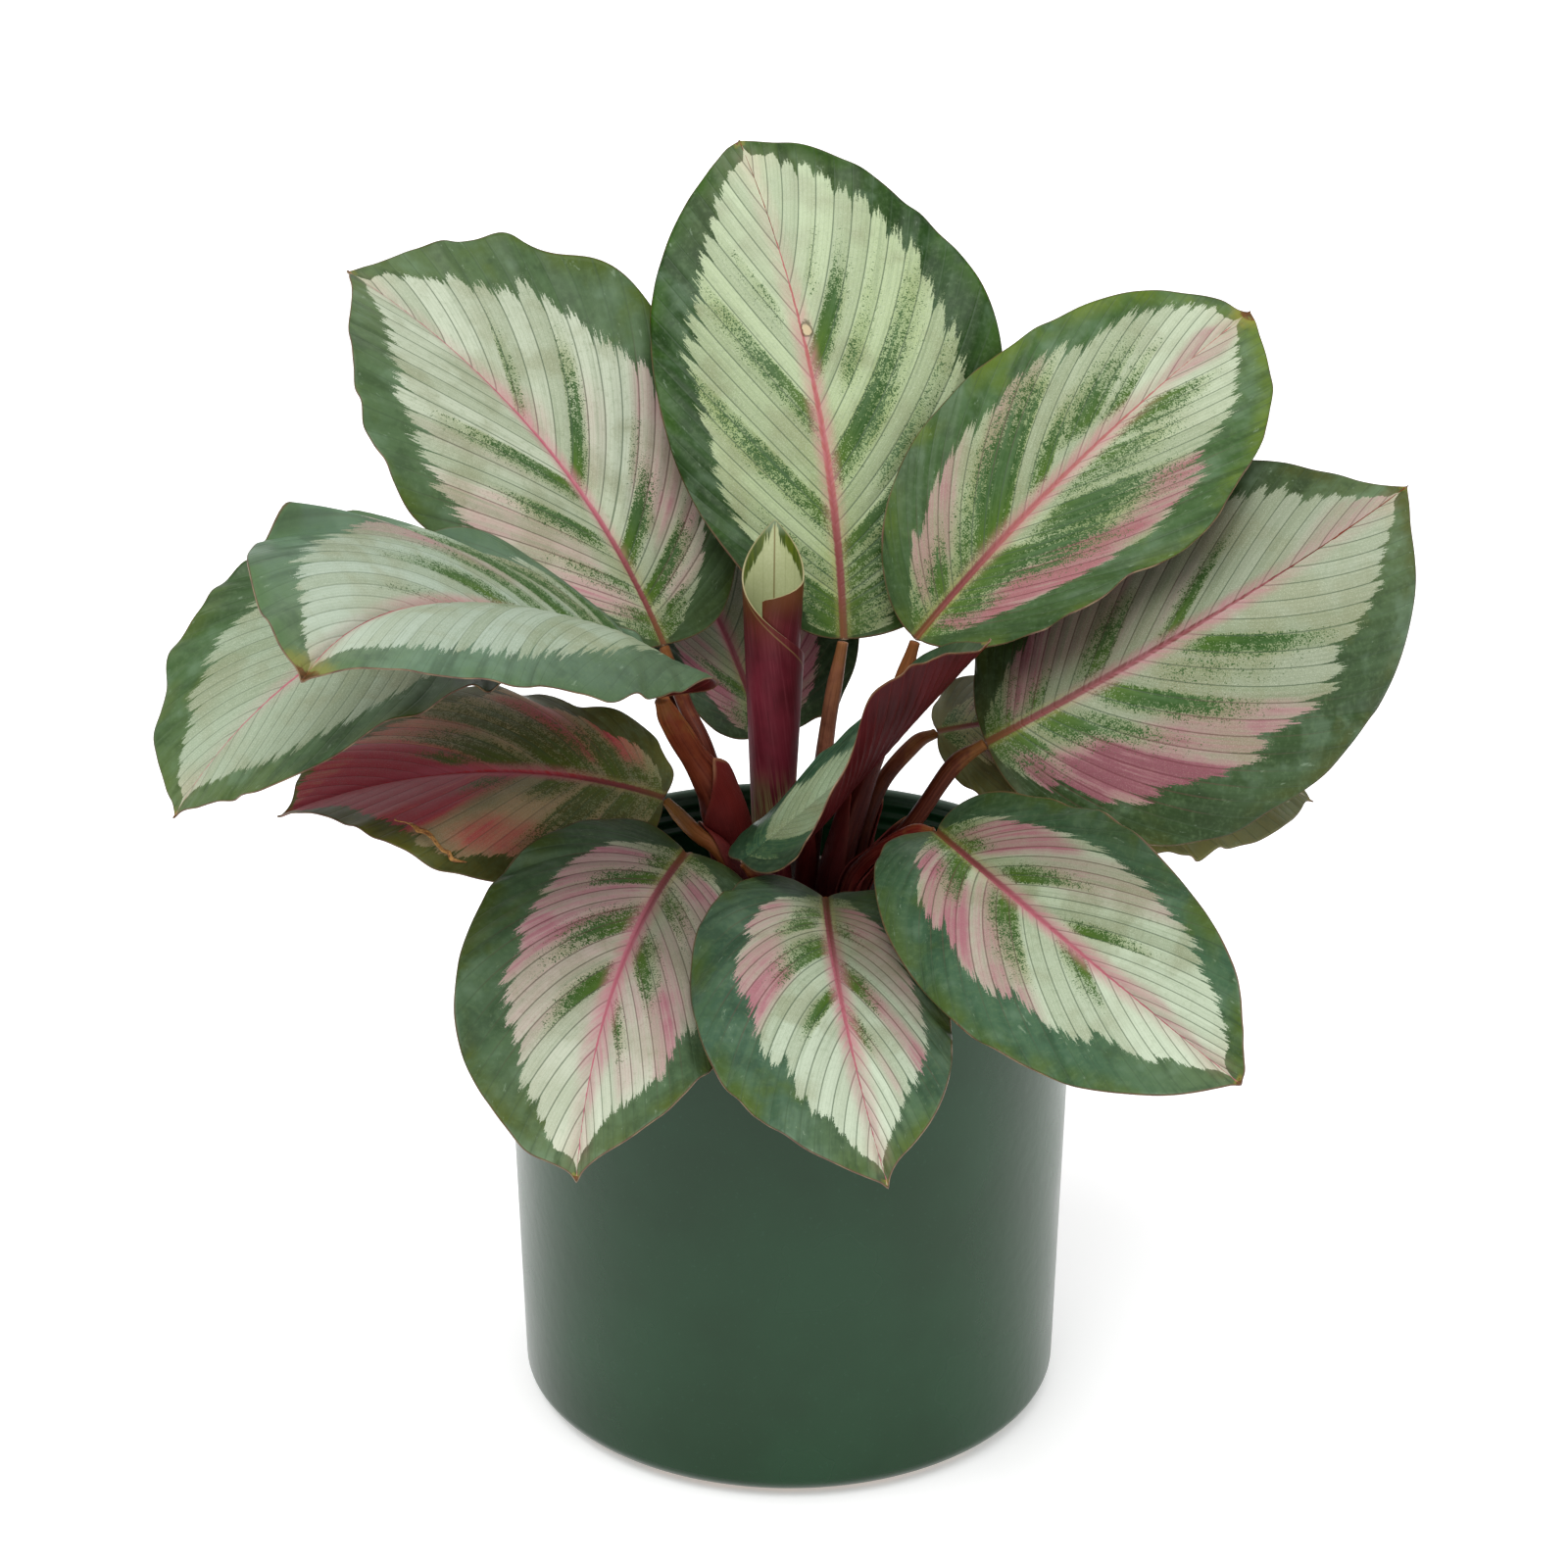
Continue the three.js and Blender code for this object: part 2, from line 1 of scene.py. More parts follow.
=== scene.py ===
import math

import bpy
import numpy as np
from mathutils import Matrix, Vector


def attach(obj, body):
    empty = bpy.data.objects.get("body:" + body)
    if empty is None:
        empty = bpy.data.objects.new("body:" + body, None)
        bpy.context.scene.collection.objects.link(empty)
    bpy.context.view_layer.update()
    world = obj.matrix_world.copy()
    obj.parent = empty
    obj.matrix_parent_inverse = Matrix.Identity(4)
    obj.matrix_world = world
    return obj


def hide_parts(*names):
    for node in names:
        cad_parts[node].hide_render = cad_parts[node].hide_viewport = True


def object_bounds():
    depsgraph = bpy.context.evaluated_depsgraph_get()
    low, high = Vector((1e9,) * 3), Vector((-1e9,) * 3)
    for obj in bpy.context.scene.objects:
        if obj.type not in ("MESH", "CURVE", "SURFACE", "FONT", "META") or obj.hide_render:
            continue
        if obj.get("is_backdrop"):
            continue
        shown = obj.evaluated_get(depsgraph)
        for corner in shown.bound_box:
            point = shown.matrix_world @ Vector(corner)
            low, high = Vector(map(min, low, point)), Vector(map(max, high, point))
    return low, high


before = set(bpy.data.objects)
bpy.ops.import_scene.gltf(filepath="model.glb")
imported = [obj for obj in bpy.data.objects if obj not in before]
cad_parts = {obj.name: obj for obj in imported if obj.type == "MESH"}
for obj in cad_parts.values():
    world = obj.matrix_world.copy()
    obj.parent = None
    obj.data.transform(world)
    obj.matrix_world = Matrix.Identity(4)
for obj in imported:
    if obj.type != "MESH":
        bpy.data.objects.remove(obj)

# Potted rosy calathea: patterned leaves on slim stalks, rooted in potting mix in a plain glazed pot.
# Sizes are in millimetres, and MM turns them into the frame's metres. In metres are only the lamps'
# and the camera's places and, inside materials, noise over Object coordinates and depths of relief.
# Colours are (red, green, blue) from 0 to 255, and angles in tables are in degrees.

cad_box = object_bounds()
MM = 0.001


# The pot is one piece of earthenware, turned on a wheel and dipped in a dark green satin glaze. The
# glaze runs thin and pale over the lip, shows the turner's rings inside it, and stops just short of
# the ground, where a narrow ring of bare clay is left to stand on.
POT_HEIGHT = 151
POT_TOP_RADIUS = 80
POT_BASE_RADIUS = 76.6
POT_WALL = 4
POT_FLOOR = 6
POT_SIDES = 256
FOOT_WIDTH = 12
FOOT_HEIGHT = 7
LIP_ROUND = 2
ROUND_STEPS = 14
WALL_STEPS = 24
RING_DEPTH = 0.5
RING_PITCH = 4
RING_COUNT = 3
RING_STEPS = 10
BARE_CLAY_HEIGHT = 1.1


def shown(node):
    """The output that a node shows for its kind of data."""
    return next(s for s in node.outputs if s.enabled)


class Web:
    """Lays nodes into a tree. Wherever a value goes, it is a socket, a number or a colour."""

    def __init__(self, tree):
        self.tree = tree

    def node(self, kind, fed=(), **settings):
        """A new node with these settings, and values fed to its sockets of these names."""
        made = self.tree.nodes.new(kind)
        for name, value in settings.items():
            setattr(made, name, value)
        for name, value in dict(fed).items():
            self.feed(next(s for s in made.inputs if s.enabled and s.name == name), value)
        return made

    def feed(self, socket, value):
        if isinstance(value, bpy.types.NodeSocket):
            self.tree.links.new(value, socket)
        elif value is not None:
            socket.default_value = paint(*value) if socket.type == "RGBA" else value

    def laid(self, kind, *values, **settings):
        """The output of a new node whose first sockets get these values."""
        made = self.node(kind, **settings)
        for socket, value in zip(made.inputs, values):
            self.feed(socket, value)
        return made.outputs[0]

    def math(self, operation, *values):
        return self.laid("ShaderNodeMath", *values, operation=operation)

    def add(self, a, b):
        return self.math("ADD", a, b)

    def times(self, a, b):
        return self.math("MULTIPLY", a, b)

    def less(self, a, b):
        return self.math("SUBTRACT", a, b)

    def absolute(self, value):
        return self.math("ABSOLUTE", value)

    def sway(self, noise, amount):
        """A noise that swings either way from nothing, by up to half the amount."""
        return self.times(self.less(noise, 0.5), amount)

    def step(self, value, low, high, start=0.0, end=1.0):
        """Eases from start to end while the value goes from low to high."""
        ranges = (low, high, start, end)
        return self.laid("ShaderNodeMapRange", value, *ranges, interpolation_type="SMOOTHSTEP")

    def mix(self, share, a, b):
        return shown(self.node("ShaderNodeMix", {"Factor": share, "A": a, "B": b}, data_type="RGBA"))

    def coats(self, tone, *coats):
        """A colour under further ones, each given with the share of it that shows."""
        for share, colour in coats:
            tone = self.mix(share, tone, colour)
        return tone

    def point(self, x, y, z):
        return self.laid("ShaderNodeCombineXYZ", x, y, z)

    def parts(self, vector):
        return tuple(self.node("ShaderNodeSeparateXYZ", {"Vector": vector}).outputs)

    def place(self):
        return self.node("ShaderNodeTexCoord").outputs["Object"]

    def noise(self, where, scale=1.0, detail=2.0, roughness=0.5):
        fed = {"Vector": where, "Scale": scale, "Detail": detail, "Roughness": roughness}
        return self.node("ShaderNodeTexNoise", fed).outputs[0]

    def note(self, name):
        """The three values that a piece carries under this name."""
        return self.parts(self.node("ShaderNodeAttribute", attribute_name=name).outputs["Vector"])

    def relief(self, height, strength, distance):
        fed = {"Height": height, "Strength": strength, "Distance": distance}
        return self.node("ShaderNodeBump", fed).outputs[0]


def paint(red, green, blue):
    """A colour given from 0 to 255, as on a paint chart, in the shader's own linear values."""
    parts = (v / 255 for v in (red, green, blue))
    return (*(v / 12.92 if v < 0.04045 else ((v + 0.055) / 1.055) ** 2.4 for v in parts), 1.0)


def new_material(name):
    material = bpy.data.materials.new(name)
    material.use_nodes = True
    return material, Web(material.node_tree), material.node_tree.nodes["Principled BSDF"]


def finish_material(web, shader, tone, roughness, relief=None, shine=None):
    """Feeds a shader; shine is the strength of its highlights."""
    for label, value in (
        ("Base Color", tone), ("Roughness", roughness), ("Normal", relief), ("Specular IOR Level", shine),
    ):
        web.feed(shader.inputs[label], value)


def finish_piece(piece, node=None):
    """Puts a piece on the one body, in place of its CAD node where it has one."""
    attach(piece, "root")
    if node:
        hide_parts(node)


def in_scene(name, data):
    """A new object of the scene with this data."""
    made = bpy.data.objects.new(name, data)
    bpy.context.scene.collection.objects.link(made)
    return made


def new_piece(name, points, faces, materials):
    """A smooth object at the origin from points in millimetres."""
    mesh = bpy.data.meshes.new(name)
    mesh.from_pydata((np.asarray(points, float) * MM).tolist(), [], faces)
    for material in materials:
        mesh.materials.append(material)
    mesh.polygons.foreach_set("use_smooth", [True] * len(mesh.polygons))
    return in_scene(name, mesh)


def turned_body(name, outline, sides, materials, surface=None):
    """A closed body turned round Z; the outline of (radius, height) starts and ends on the axis.

    Where a height is None, the surface gives it at each place.
    """
    points = []
    for radius, height in outline:
        for k in range(sides if radius else 1):
            turn = 2 * math.pi * k / sides
            x, y = radius * math.cos(turn), radius * math.sin(turn)
            points.append((x, y, surface(x, y) if height is None else height))
    last = len(points) - 1
    faces = []
    for k in range(sides):
        n = (k + 1) % sides
        faces.append((0, 1 + n, 1 + k))
        for a in range(1, last - sides, sides):
            faces.append((a + k, a + n, a + sides + n, a + sides + k))
        faces.append((last - sides + k, last - sides + n, last))
    return new_piece(name, points, faces, materials)


def pot_radius(height):
    return POT_BASE_RADIUS + (POT_TOP_RADIUS - POT_BASE_RADIUS) * height / POT_HEIGHT


def pot_outline():
    outline = [(0, 0)]
    for i in range(ROUND_STEPS + 1):
        turn = math.pi / 2 * i / ROUND_STEPS
        radius = pot_radius(FOOT_HEIGHT) - FOOT_WIDTH * (1 - math.sin(turn))
        outline.append((radius, FOOT_HEIGHT * (1 - math.cos(turn))))
    lip_middle = POT_HEIGHT - LIP_ROUND
    for i in range(1, WALL_STEPS):
        height = FOOT_HEIGHT + (lip_middle - FOOT_HEIGHT) * i / WALL_STEPS
        outline.append((pot_radius(height), height))
    for i in range(ROUND_STEPS + 1):
        turn = math.pi * i / ROUND_STEPS
        radius = POT_TOP_RADIUS - POT_WALL / 2 + POT_WALL / 2 * math.cos(turn)
        outline.append((radius, lip_middle + LIP_ROUND * math.sin(turn)))
    for i in range(1, RING_COUNT * RING_STEPS + 1):
        height = lip_middle - i * RING_PITCH / RING_STEPS
        groove = RING_DEPTH * (0.5 - 0.5 * math.cos(2 * math.pi * i / RING_STEPS))
        outline.append((pot_radius(height) - POT_WALL - groove, height))
    return outline + [(pot_radius(POT_FLOOR) - POT_WALL, POT_FLOOR), (0, POT_FLOOR)]


def glaze_material():
    material, web, shader = new_material("pot_glaze")
    where = web.place()
    height = web.parts(where)[2]
    cloud = web.noise(where, 22, 3, 0.55)
    fleck = web.noise(where, 900, 2, 0.6)
    # the lip stands out pale where the glaze is thin
    lip = web.step(height, (POT_HEIGHT - 1.6) * MM, (POT_HEIGHT - 0.2) * MM)
    edge = web.add(height, web.sway(web.noise(where, 60), 0.9 * MM))
    bare = web.step(edge, BARE_CLAY_HEIGHT * 0.85 * MM, BARE_CLAY_HEIGHT * 1.15 * MM, 1, 0)
    tone = web.coats(
        (10, 46, 20),
        (web.step(cloud, 0.3, 0.7), (16, 54, 28)),
        (web.step(fleck, 0.62, 0.78, 0, 0.35), (34, 70, 50)),
        (web.times(lip, 0.55), (112, 137, 121)),
        (bare, (176, 150, 124)),
    )
    roughness = web.add(web.step(cloud, 0.2, 0.8, 0.2, 0.3), web.times(bare, 0.55))
    pebbled = web.relief(web.noise(where, 260, 3), 0.25, 0.0003)
    finish_material(web, shader, tone, roughness, pebbled, 0.3)
    return material


pot = turned_body("glazed_pot", pot_outline(), POT_SIDES, [glaze_material()])
finish_piece(pot, "pot")


# The potting mix is a dark, damp blend of peat and bark with white perlite. It is filled to two
# fingers below the rim, heaped a little round the crown, and its crumbs lie loose on top.
SOIL_LEVEL = 129
SOIL_MOUND = 4
SOIL_GRAIN = 0.9
SOIL_GAP = 0.6
SOIL_SINK = 0.6
MOUND_FALL = 1.3
SOIL_SIDES = 120
SOIL_CIRCLES = 40
CRUMB_SWELL = 0.22
LEVEL_ENOUGH = 0.35


def soil_height(x, y):
    out = math.hypot(x, y) / POT_TOP_RADIUS
    lumps = (
        math.sin(0.31 * x + 1.3) * math.cos(0.27 * y)
        + 0.6 * math.sin(0.73 * x - 0.52 * y)
        + 0.4 * math.cos(0.9 * y + 0.4 * x)
        + 0.5 * math.sin(1.9 * x + 0.8 * y) * math.cos(1.7 * y)
    )
    return SOIL_LEVEL + SOIL_MOUND * max(0.0, 1 - out * MOUND_FALL) + SOIL_GRAIN * lumps / 2 - SOIL_SINK


def soil_body(material):
    outer = pot_radius(SOIL_LEVEL) - POT_WALL - SOIL_GAP
    bottom = POT_FLOOR + SOIL_GAP
    outline = [(0, bottom), (pot_radius(POT_FLOOR) - POT_WALL - SOIL_GAP, bottom)]
    outline += [(outer * i / SOIL_CIRCLES, None) for i in range(SOIL_CIRCLES, -1, -1)]
    return turned_body("potting_mix", outline, SOIL_SIDES, [material], soil_height)


def earth_material(name, dark, light, roughness):
    material, web, shader = new_material(name)
    where = web.place()
    tone = web.mix(web.step(web.noise(where, 90, 4, 0.6), 0.35, 0.7), dark, light)
    grit = web.relief(web.noise(where, 1400, 3, 0.65), 0.7, 0.0006)
    finish_material(web, shader, tone, roughness, grit)
    return material


def lump(name, sizes, facets, seed):
    """A small rough lump, the pattern for one kind of crumb."""
    rng = np.random.default_rng(seed)
    bpy.ops.mesh.primitive_ico_sphere_add(subdivisions=facets, radius=1)
    made = bpy.context.object
    made.name = name
    for vertex in made.data.vertices:
        swell = 1 + rng.uniform(-CRUMB_SWELL, CRUMB_SWELL)
        vertex.co = [part * size * swell * MM for part, size in zip(vertex.co, sizes)]
    made.hide_render = True
    return made


def new_tree(name, kind, inputs, outputs):
    """An empty node tree with named inputs and outputs, and a web to lay it with."""
    tree = bpy.data.node_groups.new(name, kind + "NodeTree")
    for way, sockets in (("INPUT", inputs), ("OUTPUT", outputs)):
        for label, socket in sockets.items():
            tree.interface.new_socket(label, in_out=way, socket_type="NodeSocket" + socket)
    web = Web(tree)
    return tree, web, web.node("NodeGroupInput").outputs, web.node("NodeGroupOutput").inputs


def finish_tree(web, given, result, made):
    """Ends a geometry tree with plain mesh in the given material."""
    solid = web.node("GeometryNodeRealizeInstances", {"Geometry": made})
    fed = {"Geometry": solid.outputs[0], "Material": given["Material"]}
    web.feed(result[0], web.node("GeometryNodeSetMaterial", fed).outputs[0])


def scatter_tree():
    """Scatters one kind of lump over the level part of a surface, at random turns and sizes."""
    inputs = dict(
        Geometry="Geometry", Lump="Object", Density="Float", Smallest="Float", Largest="Float", Seed="Int",
        Material="Material",
    )
    tree, web, given, result = new_tree("loose_crumbs", "Geometry", inputs, {"Geometry": "Geometry"})
    upright = web.parts(web.node("GeometryNodeInputNormal").outputs[0])[2]
    spread = web.node("GeometryNodeDistributePointsOnFaces", {
        "Mesh": given["Geometry"],
        "Selection": web.math("GREATER_THAN", upright, LEVEL_ENOUGH),
        "Density": given["Density"],
        "Seed": given["Seed"],
    })
    picture = web.node("GeometryNodeObjectInfo", {"Object": given["Lump"]})
    fed = {"Min": given["Smallest"], "Max": given["Largest"], "Seed": given["Seed"]}
    size = shown(web.node("FunctionNodeRandomValue", fed, data_type="FLOAT"))
    fed = {"Max": (2 * math.pi, 2 * math.pi, 2 * math.pi), "Seed": given["Seed"]}
    turn = shown(web.node("FunctionNodeRandomValue", fed, data_type="FLOAT_VECTOR"))
    placed = web.node("GeometryNodeInstanceOnPoints", {
        "Points": spread.outputs["Points"],
        "Instance": picture.outputs["Geometry"],
        "Rotation": turn,
        "Scale": size,
    })
    finish_tree(web, given, result, placed.outputs[0])
    return tree


def grown(host, tree, values, name):
    """The plain mesh that a geometry tree makes of a host object, which is then removed."""
    modifier = host.modifiers.new("grown", "NODES")
    modifier.node_group = tree
    for item in tree.interface.items_tree:
        if item.in_out == "INPUT" and item.name in values:
            modifier[item.identifier] = values[item.name]
    host.update_tag()
    bpy.context.view_layer.update()
    seen = host.evaluated_get(bpy.context.evaluated_depsgraph_get())
    mesh = bpy.data.meshes.new_from_object(seen)
    bpy.data.objects.remove(host)
    mesh.name = name
    mesh.polygons.foreach_set("use_smooth", [True] * len(mesh.polygons))
    return in_scene(name, mesh)


peat = earth_material("potting_mix", (24, 18, 14), (56, 43, 33), 0.92)
bark = earth_material("bark_chip", (50, 34, 22), (92, 70, 50), 0.85)
perlite = earth_material("perlite", (188, 184, 175), (221, 219, 213), 0.9)
finish_piece(soil_body(peat), "soil")

crumbs = scatter_tree()
soil_area = math.pi * ((POT_TOP_RADIUS - POT_WALL) * MM) ** 2
for name, count, sizes, facets, smallest, largest, seed, stuff in (
    ("crumbs", 2200, (1, 0.8, 0.7), 1, 0.35, 1.35, 11, peat),
    ("bark_chips", 170, (2.4, 0.9, 0.5), 1, 0.5, 1.3, 23, bark),
    ("perlite_bits", 90, (1, 0.9, 0.8), 2, 0.6, 1.3, 37, perlite),
):
    pattern = lump(name + "_pattern", sizes, facets, seed)
    values = {
        "Lump": pattern,
        "Density": count / soil_area,
        "Smallest": smallest,
        "Largest": largest,
        "Seed": seed,
        "Material": stuff,
    }
    finish_piece(grown(soil_body(peat), crumbs, values, name))
    bpy.data.objects.remove(pattern)


# Each leaf stands on its own stalk, fleshy and reddish brown, which rises from the crown, is ribbed
# finely along its length and swells to a knee just under the blade. The stalks grow out of the soil.
STALK_FOOT = 116
STALK_SEAT = 1.1
STALK_TAPER = 0.7
STALK_RINGS = 72
STALK_SIDES = 24
KNEE_SWELL = 0.1
KNEE_LENGTH = 11
KNEE_MIDDLE = 0.9
KNEE_SHARPNESS = 3
# how far each last ring stands past the stalk's end, and its share of the end's radius
ROUNDED_END = ((0.14, 0.94), (0.25, 0.76), (0.32, 0.45))
RIB_SCALE = 5

RED_FOOT = (44, 9, 7)
RED_BROWN = (98, 42, 24)
OLIVE_BROWN = (112, 76, 34)

# base: the middle of the blade's foot; seat: how far short of it the stalk ends, where that isn't
# STALK_SEAT; path: points from the soil up, each with the stalk's radius; low and high: its colours
STALKS = {
    "top": dict(
        base=(15, 21.5, 215.5), low=(50, 13, 10), high=(136, 88, 62),
        path=[(5, 13, STALK_FOOT, 3), (5, 11, 146, 2.8), (9, 15, 178, 2.5), (11.5, 19, 196, 2.2)],
    ),
    "upper_left": dict(
        base=(-35, 20.5, 214), seat=0.75, low=(52, 12, 8), high=(84, 36, 20),
        path=[(-10, 5, STALK_FOOT, 2.4), (-13, 4, 150, 2.3), (-22, 5, 186, 2.2), (-29, 14, 199, 2.1)],
    ),
    "upper_right": dict(
        base=(35, 18.5, 216.5), low=(60, 14, 11), high=(92, 32, 22),
        path=[(11, 2, STALK_FOOT, 3.6), (12, 3, 147, 4), (17, 8, 166, 3.8), (23, 12, 182, 2.8),
              (31, 17.5, 203.5, 2.2)],
    ),
    "right": dict(
        base=(54, 2, 192), seat=0.75, low=(56, 11, 6), high=(74, 34, 16),
        path=[(17, -3, STALK_FOOT, 2.7), (19, -1.5, 150, 2.6), (34, 0, 169, 2.4), (45, 2, 185, 2.3)],
    ),
    "lower_right": dict(
        base=(39.5, -21.5, 175), low=(58, 9, 8), high=(102, 28, 22),
        path=[(13, -14, STALK_FOOT, 2.4), (15.5, -10.5, 150, 2.3), (21, -10.5, 162, 2.1),
              (33, -17, 173, 1.9)],
    ),
    "front": dict(
        base=(9.5, -31, 159.5), low=(54, 11, 8), high=(98, 44, 30),
        path=[(10, -20, STALK_FOOT, 2.4), (9.5, -21, 138, 2.3), (9.5, -25.5, 150, 2.1)],
    ),
    "lower_left": dict(
        base=(-28, -18, 167.5), low=(64, 12, 10), high=(116, 52, 34),
        path=[(-10, -25, STALK_FOOT, 2.4), (-14, -23, 145, 2.3), (-24, -16.5, 159, 2.1)],
    ),
    "left": dict(
        base=(-34.5, -3, 177.5), seat=1.25, low=(100, 44, 20), high=OLIVE_BROWN,
        path=[(-7, -17, STALK_FOOT, 2.4), (-11, -19, 152, 2.4), (-18, -18.5, 167, 2.2),
              (-25, -14.5, 171.5, 2), (-30, -7.5, 174, 1.9)],
    ),
    "arched": dict(
        base=(-34.5, -17, 212), low=(56, 11, 10), high=(112, 50, 28),
        path=[(-9, -6, STALK_FOOT, 5), (-12, -7, 150, 5.6), (-17.5, -8.5, 172, 6), (-21, -9.5, 184, 5),
              (-27, -12, 195, 3.6), (-32, -15, 205, 3)],
    ),
    "far_left": dict(
        base=(-84, 20, 228), low=RED_FOOT, high=(104, 64, 34),
        path=[(-11, 16, STALK_FOOT, 2.4), (-17, 18, 158, 2.3), (-30, 30, 189, 2.2), (-58, 32, 214, 2.2),
              (-77, 25, 223.5, 2.1)],
    ),
    "back": dict(
        base=(-8, 36, 182), low=RED_FOOT, high=RED_BROWN,
        path=[(-3, 20, STALK_FOOT, 2.4), (-3, 24, 150, 2.3), (-5, 31, 170, 2.1)],
    ),
    "right_back": dict(
        base=(42, 27, 186), low=(50, 12, 7), high=(94, 46, 22),
        path=[(17, 12, STALK_FOOT, 2.5), (20, 12, 155, 2.4), (25, 16, 173, 2.3), (35, 23, 183.5, 2.1)],
    ),
    "twisted": dict(
        base=(-13, -31, 170.5), low=(48, 7, 6), high=(80, 17, 14),
        path=[(3, -14, STALK_FOOT, 2.4), (4, -16, 142, 2.3), (0, -22, 158, 2.1), (-8, -30, 165, 1.9)],
    ),
    "furled": dict(
        low=(58, 11, 13), high=(90, 24, 33),
        path=[(-2, 6, STALK_FOOT, 4.4), (-3, 6.5, 140, 4.5), (-5, 7.5, 162.4, 4.5)],
    ),
}


def stalk_points(stalk):
    """A stalk's points, the last one a seat's width short of the blade that it carries."""
    path = np.array(stalk["path"], float)
    if "base" not in stalk:
        return path
    knee, base = path[-1], np.array(stalk["base"], float)
    down = (knee[:3] - base) / np.linalg.norm(knee[:3] - base)
    top = base + down * stalk.get("seat", STALK_SEAT)
    return np.vstack([path, [*top, knee[3] * STALK_TAPER]])


def between(known, place):
    """Eased values at places among the known ones, and the bends that make them a smooth curve."""
    before = np.clip(place.astype(int), 0, len(known) - 2)
    t = (place - before).reshape(place.shape + (1,) * (known.ndim - 1))
    longer = np.concatenate([[2 * known[0] - known[1]], known, [2 * known[-1] - known[-2]]])
    a, b, c, d = (longer[before + i] for i in range(4))
    eased = b + (c - b) * (t * t * (3 - 2 * t))
    return eased, (t**3 - 2 * t**2 + t) * (c - a) / 2 + (t**3 - t**2) * (d - b) / 2


def smooth_path(points, count):
    """Evenly timed places and radii on a smooth curve through points that carry their radii."""
    eased, bend = between(points, np.linspace(0, len(points) - 1, count))
    return (eased + bend)[:, :3], eased[:, 3]


def stem_tree():
    """Sweeps a round stem along a line of points that carry their own radii."""
    inputs = dict(Geometry="Geometry", Sides="Int", Material="Material")
    tree, web, given, result = new_tree("stem", "Geometry", inputs, {"Geometry": "Geometry"})

    def keep(curve, name, value):
        fed = {"Geometry": curve, "Name": name, "Value": value}
        kind = "GeometryNodeStoreNamedAttribute"
        return web.node(kind, fed, data_type="FLOAT", domain="POINT").outputs[0]

    line = web.node("GeometryNodeMeshToCurve", {"Mesh": given["Geometry"]})
    kept = {"Name": "radius_here"}
    radius = web.node("GeometryNodeInputNamedAttribute", kept, data_type="FLOAT").outputs[0]
    sized = web.node("GeometryNodeSetCurveRadius", {"Curve": line.outputs[0], "Radius": radius})
    share = web.node("GeometryNodeSplineParameter").outputs["Factor"]
    circle = web.node("GeometryNodeCurvePrimitiveCircle", {"Resolution": given["Sides"], "Radius": 1})
    swept = web.node("GeometryNodeCurveToMesh", {
        "Curve": keep(sized.outputs[0], "along", share),
        "Profile Curve": keep(circle.outputs["Curve"], "around", share),
        "Scale": radius,
        "Fill Caps": True,
    })
    finish_tree(web, given, result, swept.outputs[0])
    return tree


def stem_skin():
    """The skin of a stalk: reddish at the foot, browner above, with fine long ribs."""
    inputs = dict(Low="Color", High="Color", Knee="Color")
    outputs = dict(Color="Color", Roughness="Float", Height="Float")
    group, web, given, result = new_tree("stem_skin", "Shader", inputs, outputs)
    along = web.node("ShaderNodeAttribute", attribute_name="along").outputs["Fac"]
    around = web.node("ShaderNodeAttribute", attribute_name="around").outputs["Fac"]
    where = web.place()
    blotch = web.noise(where, 140, 3, 0.6)
    hairs = web.noise(where, 2600, 2, 0.6)
    angle = web.times(around, 2 * math.pi)
    turns = (web.math("COSINE", angle), web.math("SINE", angle), along)
    ribs = web.noise(web.point(*(web.times(part, RIB_SCALE) for part in turns)), 1, 3, 0.6)
    climb = web.add(along, web.sway(blotch, 0.5))
    web.feed(result["Color"], web.coats(
        given["Low"],
        (web.step(climb, 0.5, 1.0), given["High"]),
        (web.times(web.step(climb, 0.86, 0.98), 0.6), given["Knee"]),
        (web.step(ribs, 0.45, 0.75, 0, 0.22), (142, 82, 60)),
        (web.step(ribs, 0.3, 0.5, 0.4, 0), (40, 12, 10)),
        (web.step(hairs, 0.6, 0.8, 0, 0.12), (150, 104, 84)),
    ))
    web.feed(result["Roughness"], web.step(blotch, 0.3, 0.7, 0.36, 0.5))
    web.feed(result["Height"], web.add(web.times(ribs, 0.8), web.times(hairs, 0.3)))
    return group


def stem_material(name, low, high):
    material, web, shader = new_material(name)
    fed = {"Low": low, "High": high, "Knee": OLIVE_BROWN}
    skin = web.node("ShaderNodeGroup", fed, node_tree=STEM_SKIN).outputs
    relief = web.relief(skin["Height"], 0.45, 0.0004)
    finish_material(web, shader, skin["Color"], skin["Roughness"], relief, 0.1)
    return material


